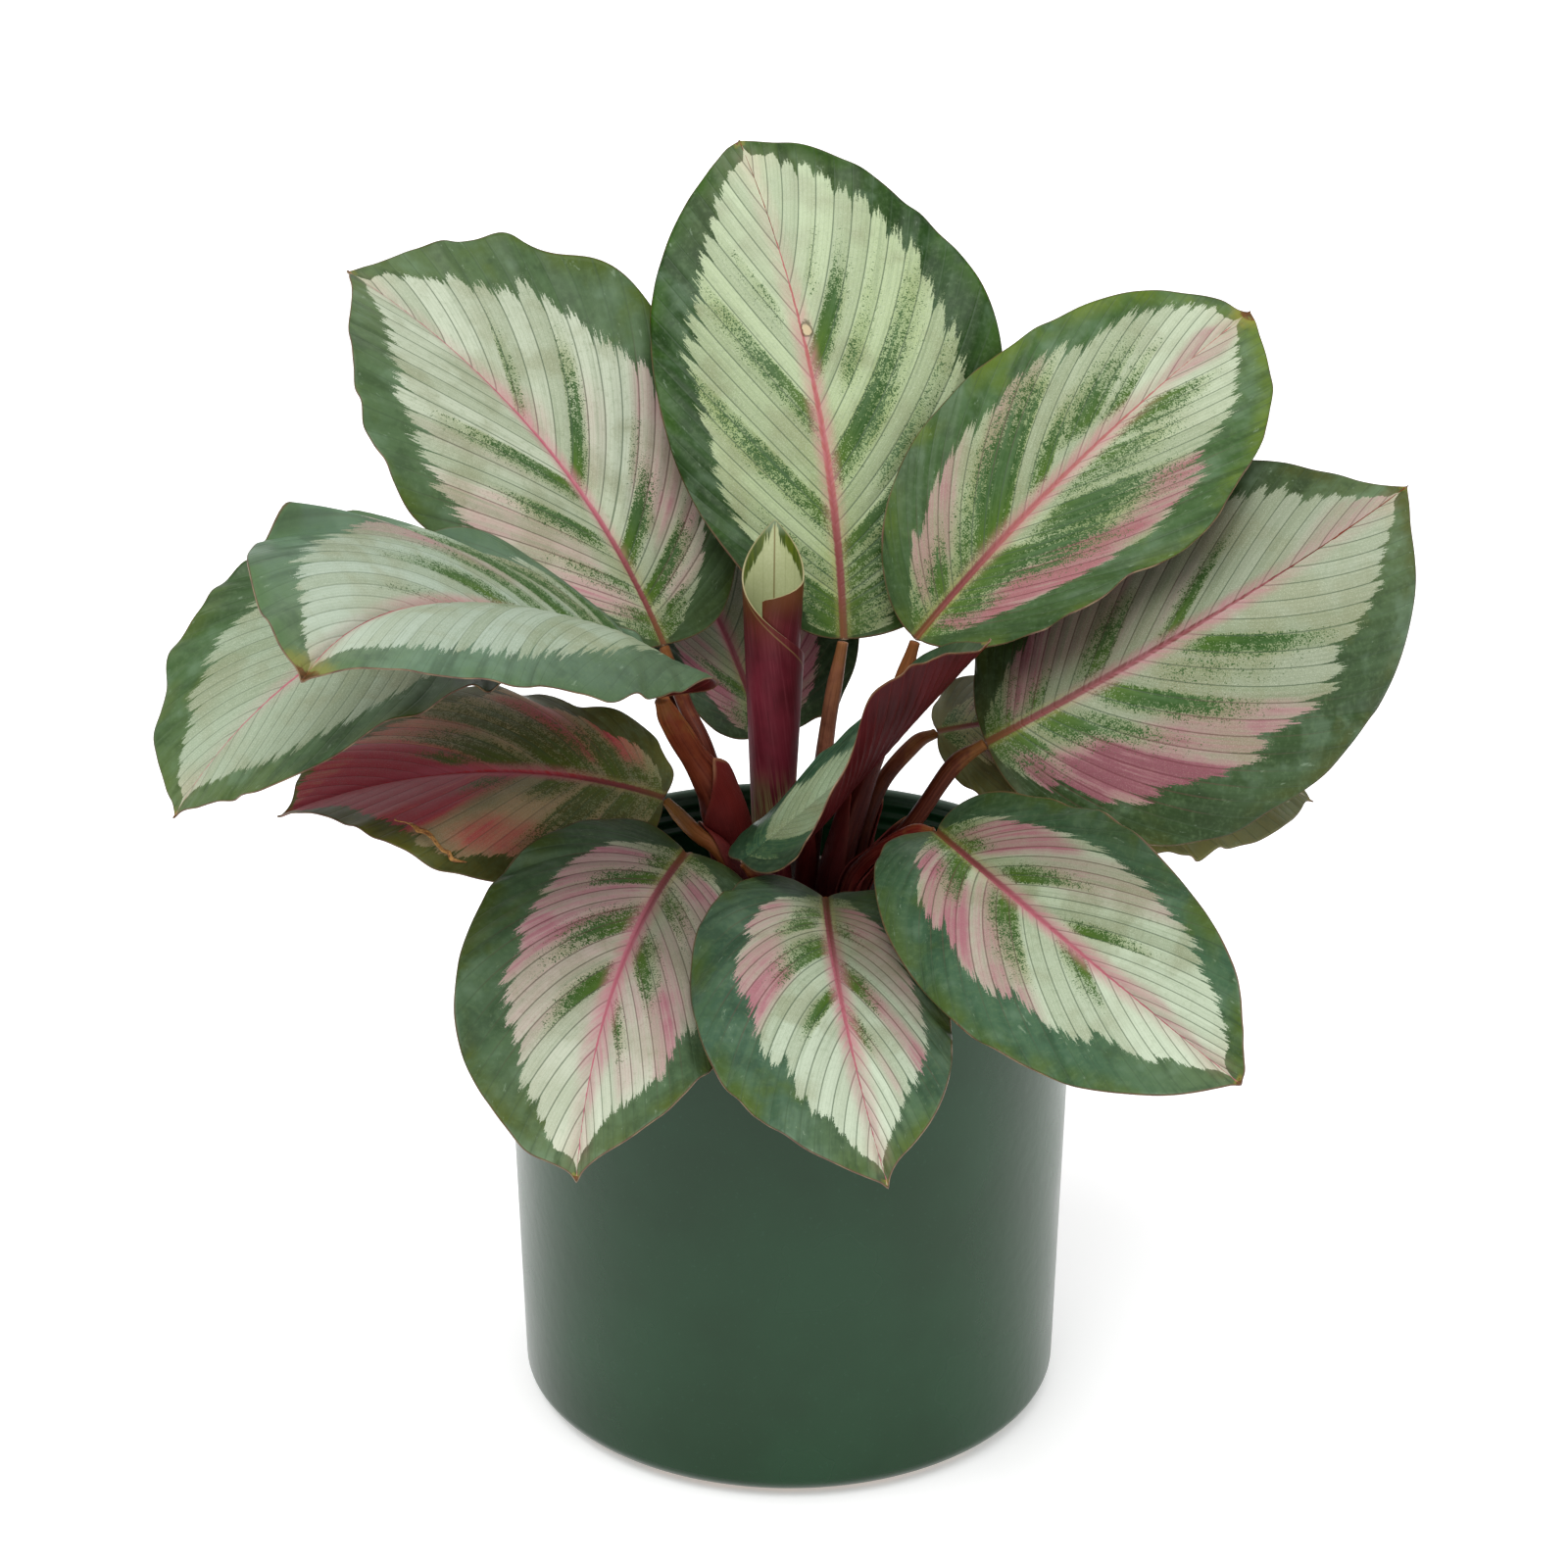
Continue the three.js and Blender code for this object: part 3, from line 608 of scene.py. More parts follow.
STEM_SKIN = stem_skin()
stems = stem_tree()
for name, stalk in STALKS.items():
    centres, radii = smooth_path(stalk_points(stalk), STALK_RINGS)
    run = np.concatenate([[0], np.cumsum(np.linalg.norm(np.diff(centres, axis=0), axis=1))])
    to_top = (run[-1] - run) / KNEE_LENGTH
    if "base" in stalk:
        radii = radii * (1 + KNEE_SWELL * np.exp(-((to_top - KNEE_MIDDLE) ** 2) * KNEE_SHARPNESS))
        onward = (centres[-1] - centres[-2]) / np.linalg.norm(centres[-1] - centres[-2])
        past, narrowed = np.array(ROUNDED_END).T
        centres = np.vstack([centres, centres[-1] + past[:, None] * onward])
        radii = np.concatenate([radii, radii[-1] * narrowed])
    line = bpy.data.meshes.new("line_" + name)
    line.from_pydata((centres * MM).tolist(), [(i, i + 1) for i in range(len(centres) - 1)], [])
    line.attributes.new("radius_here", "FLOAT", "POINT").data.foreach_set("value", radii * MM)
    skin = stem_material("stalk_" + name, stalk["low"], stalk["high"])
    values = {"Sides": STALK_SIDES, "Material": skin}
    stem = grown(in_scene("line_" + name, line), stems, values, "stem_" + name)
    finish_piece(stem, "stalk_" + name)


# The lower part of some stalks is a sheath: a thin leaf base that wraps the stalk like a collar,
# open down one side, with a dry papery edge and a pointed tip that stands a little off the stalk.
SHEATH_THICKNESS = 0.4
SHEATH_ROWS = 44
SHEATH_COLUMNS = 36
SHEATH_OVERLAP = 0.35
SHEATH_NARROWING = (1.7, 0.9)
SHEATH_LEAST_WRAP = 0.02
SHEATH_FLARE = 4
PATH_STEPS = 399
PATH_AIM = 2

# of which stalk, from where to where along it (0 foot, 1 top), the side it faces and how far it
# wraps, in degrees, and how far it stands off at the foot and the tip
SHEATHS = (
    ("arched", 0.05, 0.62, -30, 330, 0.4, 2.4),
    ("upper_right", 0.05, 0.66, 160, 320, 0.3, 1.8),
    ("left", 0.1, 0.7, 10, 300, 0.3, 1.2),
    ("top", 0.05, 0.5, 200, 320, 0.3, 1.2),
    ("right", 0.05, 0.5, 120, 320, 0.3, 1.2),
    ("lower_right", 0.05, 0.62, 60, 300, 0.3, 1.2),
    ("right_back", 0.05, 0.5, 60, 300, 0.3, 1.2),
    ("lower_left", 0.1, 0.6, 10, 300, 0.3, 1.2),
)


def sheet_normals(grid):
    """The unit normal at each grid point, and for each row whether all its points meet in one."""
    met = np.linalg.norm(grid[:, -1] - grid[:, 0], axis=1) < 1e-6
    across = np.gradient(grid, axis=1)
    for row in np.flatnonzero(met):
        across[row] = across[1 if row == 0 else row - 1]
    up = np.cross(np.gradient(grid, axis=0), across)
    up /= np.linalg.norm(up, axis=2, keepdims=True) + 1e-12
    for row in np.flatnonzero(met):
        mean = up[row].mean(axis=0)
        up[row] = mean / np.linalg.norm(mean)
    return up, met


def thin_sheet(name, grid, thickness, materials, notes):
    """A closed thin sheet round a grid of points, with smooth faces and a plain rim.

    Rows run from base to tip and each row from right to left, seen from above; a row whose points
    all meet becomes one point. Thickness is in millimetres, one value or one for each grid point.
    The upper face has the first material, the under face the second and the rim the last. Notes
    are named vectors, one for each grid point, that both faces carry as attributes.
    """
    rows, columns = grid.shape[:2]
    up, met = sheet_normals(grid)
    half = np.broadcast_to(np.asarray(thickness, float) / 2, (rows, columns))[..., None]
    index = np.arange(rows * columns).reshape(rows, columns)
    for row in np.flatnonzero(met):
        index[row] = index[row, columns // 2]
    used, top = np.unique(index, return_inverse=True)
    top = top.reshape(rows, columns)
    low = top + len(used)
    points = np.vstack([(grid + up * half).reshape(-1, 3)[used], (grid - up * half).reshape(-1, 3)[used]])
    a, b, c, d = top[:-1, :-1], top[1:, :-1], top[1:, 1:], top[:-1, 1:]
    ends = [
        (low[:-1, 0], low[1:, 0], top[1:, 0], top[:-1, 0]),
        (top[:-1, -1], top[1:, -1], low[1:, -1], low[:-1, -1]),
    ]
    if not met[0]:
        ends.append((low[0, :-1], top[0, :-1], top[0, 1:], low[0, 1:]))
    if not met[-1]:
        ends.append((top[-1, :-1], low[-1, :-1], low[-1, 1:], top[-1, 1:]))
    rim = np.vstack([np.stack(end, -1) for end in ends])
    upper, under = np.stack([a, b, c, d], -1), np.stack([a, d, c, b], -1) + len(used)
    faces, kinds = [], []
    for kind, quads in enumerate((upper, under, rim)):
        for quad in quads.reshape(-1, 4).tolist():
            face = list(dict.fromkeys(quad))
            if len(face) > 2:
                faces.append(face)
                kinds.append(kind)
    piece = new_piece(name, points, faces, materials)
    kinds = np.array(kinds)
    piece.data.polygons.foreach_set("material_index", np.minimum(kinds, len(materials) - 1))
    piece.data.polygons.foreach_set("use_smooth", kinds < 2)
    for label, values in notes.items():
        both = np.vstack([values.reshape(-1, 3)[used]] * 2)
        layer = piece.data.attributes.new(label, "FLOAT_VECTOR", "POINT")
        layer.data.foreach_set("vector", both.astype(np.float32).ravel())
    return piece


def sheath_material():
    material, web, shader = new_material("sheath")
    high, side, edge = web.note("place")
    blotch = web.noise(web.place(), 120, 3, 0.6)
    ribs = web.noise(web.point(web.times(side, 26), web.times(high, 1.6), 3), 1, 3, 0.6)
    climb = web.add(high, web.sway(blotch, 0.6))
    papery = web.step(web.add(edge, web.sway(ribs, 0.8)), 0.3, 1.6, 1, 0)
    papery = web.times(papery, web.step(high, 0.84, 0.97, 0.06, 1))
    tone = web.coats(
        (52, 10, 10),
        (web.step(climb, 0.1, 0.9), (94, 26, 24)),
        (web.step(ribs, 0.5, 0.75, 0, 0.3), (108, 44, 38)),
        (web.step(ribs, 0.3, 0.45, 0.4, 0), (44, 6, 8)),
        (web.times(papery, 0.8), (140, 98, 72)),
    )
    roughness = web.step(ribs, 0.3, 0.7, 0.4, 0.58)
    finish_material(web, shader, tone, roughness, web.relief(ribs, 0.6, 0.0004), 0.1)
    return material


skin = sheath_material()
for name, start, end, faces, wrap, foot, tip in SHEATHS:
    centres, radii = smooth_path(stalk_points(STALKS[name]), PATH_STEPS + 1)
    rise = np.linspace(0, 1, SHEATH_ROWS + 1)
    pick = np.clip((start + (end - start) * rise) * PATH_STEPS, 0, PATH_STEPS - 1).astype(int)
    ahead = centres[np.minimum(pick + PATH_AIM, PATH_STEPS)] - centres[np.maximum(pick - PATH_AIM, 0)]
    ahead /= np.linalg.norm(ahead, axis=1, keepdims=True)
    facing = np.array([math.cos(math.radians(faces)), math.sin(math.radians(faces)), 0.0])
    front = facing - ahead * (ahead @ facing)[:, None]
    front /= np.linalg.norm(front, axis=1, keepdims=True)
    side = np.cross(ahead, front)
    late, soft = SHEATH_NARROWING
    half_wrap = np.radians(wrap / 2) * (1 - rise**late) ** soft + SHEATH_LEAST_WRAP
    reach = radii[pick] + SHEATH_THICKNESS / 2 + (foot + (tip - foot) * rise**SHEATH_FLARE)
    share = np.linspace(-1, 1, SHEATH_COLUMNS + 1)
    angle = half_wrap[:, None] * share
    layer = reach[:, None] + SHEATH_OVERLAP * (share + 1) * (1 - rise[:, None])
    grid = (
        centres[pick][:, None, :]
        + front[:, None, :] * (layer * np.cos(angle))[..., None]
        + side[:, None, :] * (layer * np.sin(angle))[..., None]
    )
    # grid rows run up the stalk, and turn from the sheath's right edge to its left, seen outside
    to_edge = (1 - np.abs(share)) * (half_wrap * reach)[:, None]
    place = np.stack([np.broadcast_to(rise[:, None], angle.shape), angle, to_edge], -1)
    notes = {"place": place[:, ::-1]}
    finish_piece(thin_sheet("sheath_" + name, grid[:, ::-1], SHEATH_THICKNESS, [skin], notes))


# The thirteen open blades are thin, tough leaves. Side veins run from the rosy midrib out to the wavy
# margin; between them the silver middle ends in feathered teeth against a dark green margin, with
# speckled green along the main veins, rosy streaks where the leaf is young, and burgundy beneath.
BLADE_ROWS = 196
BLADE_HALF_COLUMNS = np.array([
    0, 0.006, 0.012, 0.019, 0.028, 0.04, 0.056, 0.078, 0.106, 0.14, 0.18, 0.23,
    0.29, 0.355, 0.42, 0.49, 0.56, 0.63, 0.7, 0.77, 0.84, 0.9, 0.95, 0.98, 1,
])
BLADE_MIDDLE = 0.62
BLADE_EDGE = 0.36
QUILTING = 0.32
RIB_GROOVE = 0.35
RIB_HALF_WIDTH = 1.1
SIDE_VEINS = 28
MIDRIB_STEPS = 48
MARGIN_STEPS = 24
EDGE_POINTS = 600
BACK_LIMIT = 108.5
BACK_SOFTENING = 3.6
MARGIN_WAVE = 2
MARGIN_WAVES = 4
LEFT_PHASE = 0.37
FRILLS = 8
FRILL_WANDER = 0.035
FRILL_WANDERS = 15
FRILL_OFFSET = 0.13
SECOND_FRILL = 0.45
SECOND_FRILLS = 1.63
SECOND_PHASE = 0.3
# waves and frills grow from midrib to margin by these powers of the share
WAVE_GROWTH = 1.5
FRILL_GROWTH = 2.6
VEIN_STEP = 0.004
SHARE_STEP = 0.01
# how side veins gather by the stalk, lean to the tip and spread to the margin, how the margin rounds
# its shoulder and tapers to the tip, and the green wash by every leaf's foot
GATHER = 2.5
LEAN = 0.42
SPREAD = 0.58
SHOULDER = 0.95
TAPER = 1.28
FOOT_WASH = 0.68

# How every leaf stands, in millimetres, degrees and shares; pairs are for the left half and the right:
# bearing, rise, roll: of the midrib where it leaves the stalk; length: of the midrib
# droop, sweep, twist: how far the midrib bends down, to the left and round itself to the tip
# left, right: reach from midrib to margin, lift and curl of the half; lift_to_tip: what lift grows by
# widest: where along the blade; lobe, drip: how far its foot and its tip are drawn out
# lean: of the marks along the side veins; frill: height of the ruffles at the edge
# quilt, veins: strength of the swell between side veins and of their lines; dry: brown length of tip
# halo: rosy glow by the midrib; shine: how far the silver pales to the tip
# scar: place along, share of the way to the margin (left is positive), radius
# margin, in tenths of a millimetre: how far the real margin stands out from the smooth one at each
# twenty-fourth of its length, up to the last place where it does
# The rest is in per cent; places are where the side veins start, from stalk to tip, and shares the way
# from midrib to margin:
# painted_shade: (place, how much duller and darker the leaf is painted there, as shade); border of the
# silver: (place, share)
# patches of green: (place, half width, from share, to share, strength)
# rosy areas: (from place, to place, from share, to share, strength)
TINTS = dict(
    silver=(154, 166, 142), warm=(138, 148, 82), margin=(52, 76, 44), bright=(64, 82, 14),
    patch=(34, 66, 16), rosy=(148, 101, 108), rib=(160, 92, 102),
)
# a leaf without a scar has one too small to see
USUAL = dict(
    frill=(0.8, 0.8), quilt=1, veins=1, dry=1.5, shine=0.4, scar=(0, 0.1, 0.001),
    painted_shade=([(0, 0)], [(0, 0)]), rosy=([], []),
)
HIDDEN_BORDER = [(15, 12), (25, 35), (35, 50), (45, 65), (60, 78), (90, 82)]
LEAVES = {
    "top": dict(
        bearing=93.5, rise=62.5, roll=1, length=154, droop=15, sweep=19, twist=-11, left=(44, 16.5, -4.5),
        right=(51.5, -4, 14), widest=0.53, lobe=1.5, drip=4, lift_to_tip=-24, lean=(0.05, 0.05), halo=0.8,
        frill=(0.7, 1.2), shine=0.28, scar=(0.8, -0.05, 1.3),
        margin=(
            (0, 1, 1, -2, -6, -9, -9, -5, 1, 4, 5, 2, -2, -3, -1, 2, 2, 0, 3, 7, 12, 13, 15, 17),
            (0, -1, 3, 8, 8, 7, 6, 7, 10, 17, 27, 37, 44, 40, 30, 22, 18, 20, 27, 37, 46, 46, 29, 17),
        ),
        tints=dict(
            silver=(150, 164, 126), warm=(130, 146, 56), margin=(24, 54, 6), bright=(42, 76, 0),
            rib=(150, 84, 78),
        ),
        painted_shade=([(30, 0)], [(15, 30), (35, 20), (60, 0)]),
        border=(
            [(11, 35), (15, 52), (20, 40), (25, 42), (35, 60), (43, 74), (50, 72), (55, 74), (60, 80),
             (80, 80), (90, 84), (95, 80)],
            [(11, 40), (15, 58), (20, 42), (25, 45), (40, 60), (50, 76), (58, 82), (65, 88), (75, 90),
             (80, 85), (90, 85), (95, 95)],
        ),
        patches=(
            [(40, 3, 5, 45, 45), (53, 3, 2, 75, 70), (69, 2.2, 5, 65, 75), (79, 2, 20, 60, 40),
             (30, 5, 0, 30, 90), (20, 6, 10, 50, 90)],
            [(30, 5, 0, 50, 80), (40, 4, 2, 40, 85), (47, 2.5, 0, 60, 75), (52, 2, 25, 75, 50),
             (62, 2.8, 3, 70, 85), (69.5, 2, 20, 60, 45), (76.5, 1.8, 2, 50, 100), (82, 1.5, 20, 50, 30)],
        ),
    ),
    "upper_left": dict(
        bearing=132, rise=55.5, roll=3.5, length=140, droop=23, sweep=27.5, twist=13.5,
        left=(54.5, 11.5, -35.5), right=(55, 6, 38), widest=0.56, lobe=2.5, drip=5.5, lift_to_tip=4,
        lean=(0.03, 0.02), halo=0.7, frill=(0.9, 1.4), shine=0.15,
        margin=(
            (0, 0, -1, -3, -7, -12, -18, -22, -22, -11, 17, 38, 28, 1, -7, -4, 2, 4, 1, -3, -7, -5, 2, 11),
            (0, 3, 9, 8, -3, -15, -16, -13, -8, -3, 0, 2, 0, -5, -7, -8, 10, 16, -5, -6, 0, 0, 4, 9),
        ),
        tints=dict(silver=(165, 173, 152), warm=(156, 160, 110), margin=(64, 86, 54), rosy=(174, 132, 134)),
        painted_shade=([(30, 0)], [(15, 30), (35, 15), (60, 0)]),
        border=(
            [(20, 30), (30, 42), (40, 70), (43, 80), (50, 83), (60, 82), (70, 83), (80, 80), (95, 80)],
            [(20, 28), (27, 40), (32, 50), (40, 60), (50, 72), (60, 75), (70, 80), (85, 80), (90, 83),
             (95, 90)],
        ),
        patches=(
            [(41, 3, 5, 40, 60), (53, 2.5, 10, 45, 85), (65, 2, 5, 55, 80), (30, 5, 0, 20, 70)],
            [(39, 3, 0, 40, 90), (51, 2.5, 0, 35, 100), (54.5, 1.2, 30, 45, 60), (67, 1.5, 3, 55, 90),
             (78.5, 1, 3, 50, 60), (27, 5, 10, 30, 80)],
        ),
        rosy=(
            [(28, 40, 10, 50, 70), (40, 53, 20, 75, 45), (60, 63, 30, 70, 25)],
            [(30, 40, 15, 50, 55), (37, 40, 35, 50, 80), (42, 54, 25, 70, 55), (61, 65, 10, 40, 30),
             (72, 82, 2, 10, 40)],
        ),
    ),
    "upper_right": dict(
        bearing=35.5, rise=40, roll=41, length=141, droop=8.5, sweep=-11, twist=8.5, left=(39, 18, -14.5),
        right=(45, 32, 12.5), widest=0.45, lobe=0.6, drip=3, lift_to_tip=-19, lean=(0.1, 0.13), halo=0.9,
        frill=(1.1, 1.5), dry=4, shine=0.32,
        margin=(
            (0, 0, -3, -5, -6, -5, -3, 0, 2, 4, 2, -2, -4, -3, -1, 0, -1, -2, 1, 4, -1, -2, -1, -8),
            (0, 0, 1, 2, 4, 7, 10, 3, 3, -10, -24, -1, 21, 20, -1, -9, -2, 0, 0, 0, 0, 0, 1, 6),
        ),
        tints=dict(
            silver=(148, 158, 130), warm=(132, 142, 56), margin=(52, 80, 38), bright=(84, 104, 24),
            rib=(150, 92, 84),
        ),
        border=(
            [(20, 22), (25, 30), (30, 40), (35, 55), (38, 45), (42, 60), (50, 70), (55, 72), (60, 80),
             (65, 82), (70, 78), (75, 88), (80, 90), (90, 93), (95, 90)],
            [(20, 26), (25, 33), (30, 38), (35, 45), (40, 57), (50, 68), (55, 78), (65, 80), (70, 73),
             (78, 82), (87, 80), (92, 75)],
        ),
        patches=(
            [(38, 4, 5, 30, 80), (47, 3, 5, 40, 60), (56, 5, 5, 70, 100), (67, 2, 10, 40, 90),
             (73, 4, 20, 60, 80), (80, 2, 15, 50, 70)],
            [(35, 5, 2, 30, 80), (45, 5, 5, 30, 90), (50, 6, 5, 50, 100), (60, 6, 15, 60, 95),
             (72, 5, 10, 45, 70), (82, 4, 10, 50, 80)],
        ),
        rosy=(
            [(28, 38, 15, 50, 80), (38, 45, 20, 60, 60), (50, 57, 40, 70, 60), (88, 96, 5, 50, 45)],
            [(23, 33, 10, 40, 120), (33, 47, 25, 55, 110), (46, 51, 35, 60, 130), (50, 63, 55, 72, 90),
             (88, 96, 5, 50, 45)],
        ),
    ),
    "right": dict(
        bearing=-2.5, rise=30.5, roll=46.5, length=142, droop=31.5, sweep=20, twist=11,
        left=(53, -13.5, 26), right=(56, -7, -31), widest=0.47, lobe=2.5, drip=6, lift_to_tip=-18,
        lean=(0.1, 0.13), halo=0.9, frill=(1.6, 1.3), shine=0.12,
        margin=(
            (0, 0, 0, 0, 0, 0, 0, 0, 0, 0, 0, -1, -2, -4, -6, -8, -8, -6, 2, 12, 12, 0, -3),
            (0, 1, 1, 0, 0, 0, 2, 8, 16, 9, 8, 1, 8, 8, 3, 0, 3, 5, 4, 1, 0, 0, 1, 7),
        ),
        # the rib and silver tints are painted darker, as shade from the upper right leaf above it
        tints=dict(
            silver=(132, 140, 118), warm=(112, 116, 68), margin=(40, 62, 28), bright=(62, 68, 14),
            rib=(92, 38, 34),
        ),
        painted_shade=([(0, 40), (55, 40), (80, 20), (95, 0)], [(10, 30), (40, 0)]),
        border=(
            [(15, 30), (25, 33), (30, 38), (35, 45), (50, 60), (60, 75), (70, 80), (80, 85), (83, 75),
             (87, 80), (92, 75), (95, 70)],
            [(12, 30), (18, 35), (25, 50), (30, 40), (33, 60), (40, 65), (44, 60), (47, 65), (55, 72),
             (58, 67), (62, 73), (70, 75), (74, 68), (78, 75), (83, 76), (88, 73), (93, 75)],
        ),
        patches=(
            [(40, 4, 3, 20, 60), (55, 3, 5, 35, 70), (69, 1.5, 5, 45, 100), (25, 8, 0, 15, 70)],
            [(30, 5, 0, 20, 100), (43, 4, 2, 25, 90), (47, 3, 10, 40, 60), (56, 2.5, 5, 45, 100),
             (70, 2, 10, 50, 100), (64, 3, 10, 50, 30)],
        ),
        rosy=(
            [(27, 40, 10, 45, 80), (40, 55, 20, 60, 50), (55, 70, 10, 60, 25), (85, 100, 0, 60, 45)],
            [(20, 30, 20, 50, 110), (30, 44, 25, 65, 130), (44, 58, 30, 70, 60), (58, 70, 5, 20, 15)],
        ),
    ),
    "lower_right": dict(
        bearing=-64, rise=-4, roll=25, length=137, droop=10.5, sweep=3.5, twist=16.5,
        left=(31.5, 27.5, -4), right=(40, 33.5, -20), widest=0.48, lobe=3, drip=3, lift_to_tip=-7.5,
        lean=(0.15, 0.12), halo=0.9,
        margin=(
            (0, 2, 6, 1, -5, -13, -14, -12, -8, -4, 0, 4, 6, 7, 7, 7, 10, 15, 16, 11, 3, 2, 7, 13),
            (0, -3, 0, 5, 5, 1, -6, -10, -9, -5, -3, -3, -2, 1, -2, -9, -12, -5, -1, -1, -1, -1, -1),
        ),
        tints=dict(silver=(160, 172, 148), margin=(50, 80, 56)),
        painted_shade=([(10, 30), (55, 30), (75, 0)], [(10, 20), (35, 0)]),
        border=(
            [(25, 30), (30, 45), (35, 52), (40, 55), (47, 65), (55, 78), (60, 82), (70, 84), (80, 86),
             (90, 88)],
            [(25, 25), (30, 35), (33, 45), (36, 42), (40, 57), (47, 63), (50, 55), (55, 70), (62, 72),
             (65, 66), (70, 73), (75, 75), (78, 65), (82, 76), (85, 77), (88, 68), (92, 72)],
        ),
        patches=(
            [(38, 5, 3, 20, 70), (54, 3, 10, 40, 80), (70, 2, 15, 45, 80)],
            [(43, 5, 3, 30, 100), (60, 3.5, 3, 45, 85), (76, 2.5, 5, 35, 80), (30, 6, 0, 15, 80)],
        ),
        rosy=(
            [(28, 45, 12, 50, 70), (45, 60, 30, 80, 40), (80, 95, 5, 25, 40), (93, 100, 20, 90, 30)],
            [(25, 35, 15, 40, 60), (35, 50, 20, 60, 85), (50, 62, 10, 70, 60)],
        ),
    ),
    "front": dict(
        bearing=-88.5, rise=1, roll=-4, length=116, droop=32, sweep=11.5, twist=12.5, left=(28, 23, -14.5),
        right=(40, 30, -35), widest=0.5, lobe=4, drip=5.5, lift_to_tip=-3, lean=(0.12, 0.08), halo=1,
        margin=(
            (0, 0, -1, -1, -1, 0, 0, 0, -1, -2, -4, -6, -8, -10, -9, -5, 1, 5, 5, -1, -9, -12, -11, -5),
            (0, 2, 10, 13, 10, 3, -11, -15, -9, -3, -1, -2, -2, -1, 1, -2, -8, -10, -9, -6, -2, 1, 7, 9),
        ),
        tints=dict(silver=(162, 174, 152), margin=(50, 78, 58), rosy=(158, 116, 120)),
        painted_shade=([(10, 50), (60, 70), (80, 0)], [(10, 30), (40, 0)]),
        border=(
            [(28, 30), (33, 30), (40, 42), (50, 60), (57, 72), (62, 77), (67, 80), (70, 83), (80, 78),
             (85, 78), (90, 72), (95, 60)],
            [(30, 25), (33, 40), (37, 50), (42, 57), (45, 60), (46, 52), (50, 65), (55, 70), (60, 67),
             (65, 72), (70, 75), (73, 65), (77, 75), (82, 78), (84, 68), (90, 76)],
        ),
        patches=(
            [(48, 4, 5, 25, 50), (65, 3, 5, 35, 80), (76, 2, 5, 30, 70)],
            [(40, 4, 5, 25, 70), (46, 3, 10, 30, 90), (57, 3.5, 2, 40, 80), (71, 1.5, 5, 40, 100)],
        ),
        rosy=(
            [(32, 47, 15, 50, 80), (47, 58, 20, 70, 50), (62, 67, 20, 80, 80), (75, 77, 15, 60, 50),
             (85, 95, 0, 25, 40)],
            [(32, 45, 30, 60, 70), (45, 60, 35, 70, 90), (35, 55, 5, 30, 30), (80, 92, 0, 12, 30)],
        ),
    ),
    "lower_left": dict(
        bearing=-108, rise=-2, roll=-21, length=127, droop=29, sweep=19.5, twist=23,
        left=(35.5, 13.5, -23), right=(40, 16, -17), widest=0.49, lobe=4, drip=6.5, lift_to_tip=7,
        lean=(0.15, 0.06), halo=1,
        margin=(
            (0, 1, 4, 5, 4, 3, 2, 1, 0, -1, -1, -1, 0, 2, 5, 8, 12, 15, 12, 6, 1, -2, -1, 2),
            (0, 1, 5, 8, 4, -6, -13, -14, -9, -1, 8, 6, 2, -1, -2, 3, 2, 0, 0, 1, 10, 20, 14, 7),
        ),
        # the warm tint is painted paler to make up for the shade of the leaves above its foot
        tints=dict(
            silver=(170, 173, 154), warm=(180, 174, 134), margin=(60, 82, 56), bright=(64, 76, 12),
            rosy=(166, 126, 130), rib=(172, 98, 112),
        ),
        painted_shade=([(30, 0), (60, 40), (75, 0)], [(20, 0)]),
        border=(
            [(20, 25), (25, 35), (30, 42), (35, 50), (50, 65), (60, 75), (66, 78), (70, 77), (75, 83),
             (80, 80), (85, 75), (95, 65)],
            [(25, 25), (30, 40), (33, 50), (37, 53), (43, 60), (50, 65), (57, 70), (60, 65), (62, 75),
             (70, 76), (74, 72), (80, 80), (85, 75), (90, 82), (95, 90)],
        ),
        patches=(
            [(50, 4, 5, 35, 60), (66, 4, 8, 40, 70), (78, 2, 10, 40, 60), (35, 6, 3, 15, 50)],
            [(35, 6, 0, 20, 70), (46, 3, 3, 35, 90), (61, 3.5, 3, 45, 80), (73.5, 2, 8, 45, 90)],
        ),
        rosy=(
            [(30, 45, 15, 45, 70), (45, 62, 20, 60, 50), (60, 68, 40, 75, 80), (68, 80, 10, 60, 40),
             (76, 92, 0, 20, 50)],
            [(33, 47, 15, 55, 90), (47, 60, 10, 70, 90), (60, 74, 10, 75, 45), (76, 88, 0, 14, 50)],
        ),
    ),
    "left": dict(
        bearing=179, rise=19, roll=-25, length=107.5, droop=28.5, sweep=31, twist=26, left=(45, 7, -45.5),
        right=(36, 6, -20), widest=0.43, lobe=3, drip=8, lift_to_tip=13.5, lean=(0.05, 0.05), halo=1,
        frill=(0.8, 0.7), quilt=0.35, veins=0.5, dry=3, shine=0,
        margin=(
            (0, 0, 1, 1, 1, 1, 1, 0, -1, -2, -4, -6, -9, -11, -14, -9, 5, 14, 10, -1, -7, 2, 21, 21),
            (0, 6, 10, -1, 1, 14, 10, -2, -25, -20, 24, 43, 43, 34, 22, 12, 4, -2, -6, -7, -5, -1, -1, -2),
        ),
        # the silver, warm, margin and patch tints are painted paler, partly to make up for the shade that
        # the arched leaf casts on this leaf
        tints=dict(
            silver=(172, 146, 108), warm=(146, 136, 78), margin=(84, 84, 40), bright=(104, 104, 40),
            rosy=(186, 66, 74), patch=(80, 82, 30), rib=(188, 58, 66),
        ),
        border=(
            [(22, 60), (35, 75), (50, 75), (58, 85), (66, 94), (70, 87), (78, 85), (86, 80), (92, 100)],
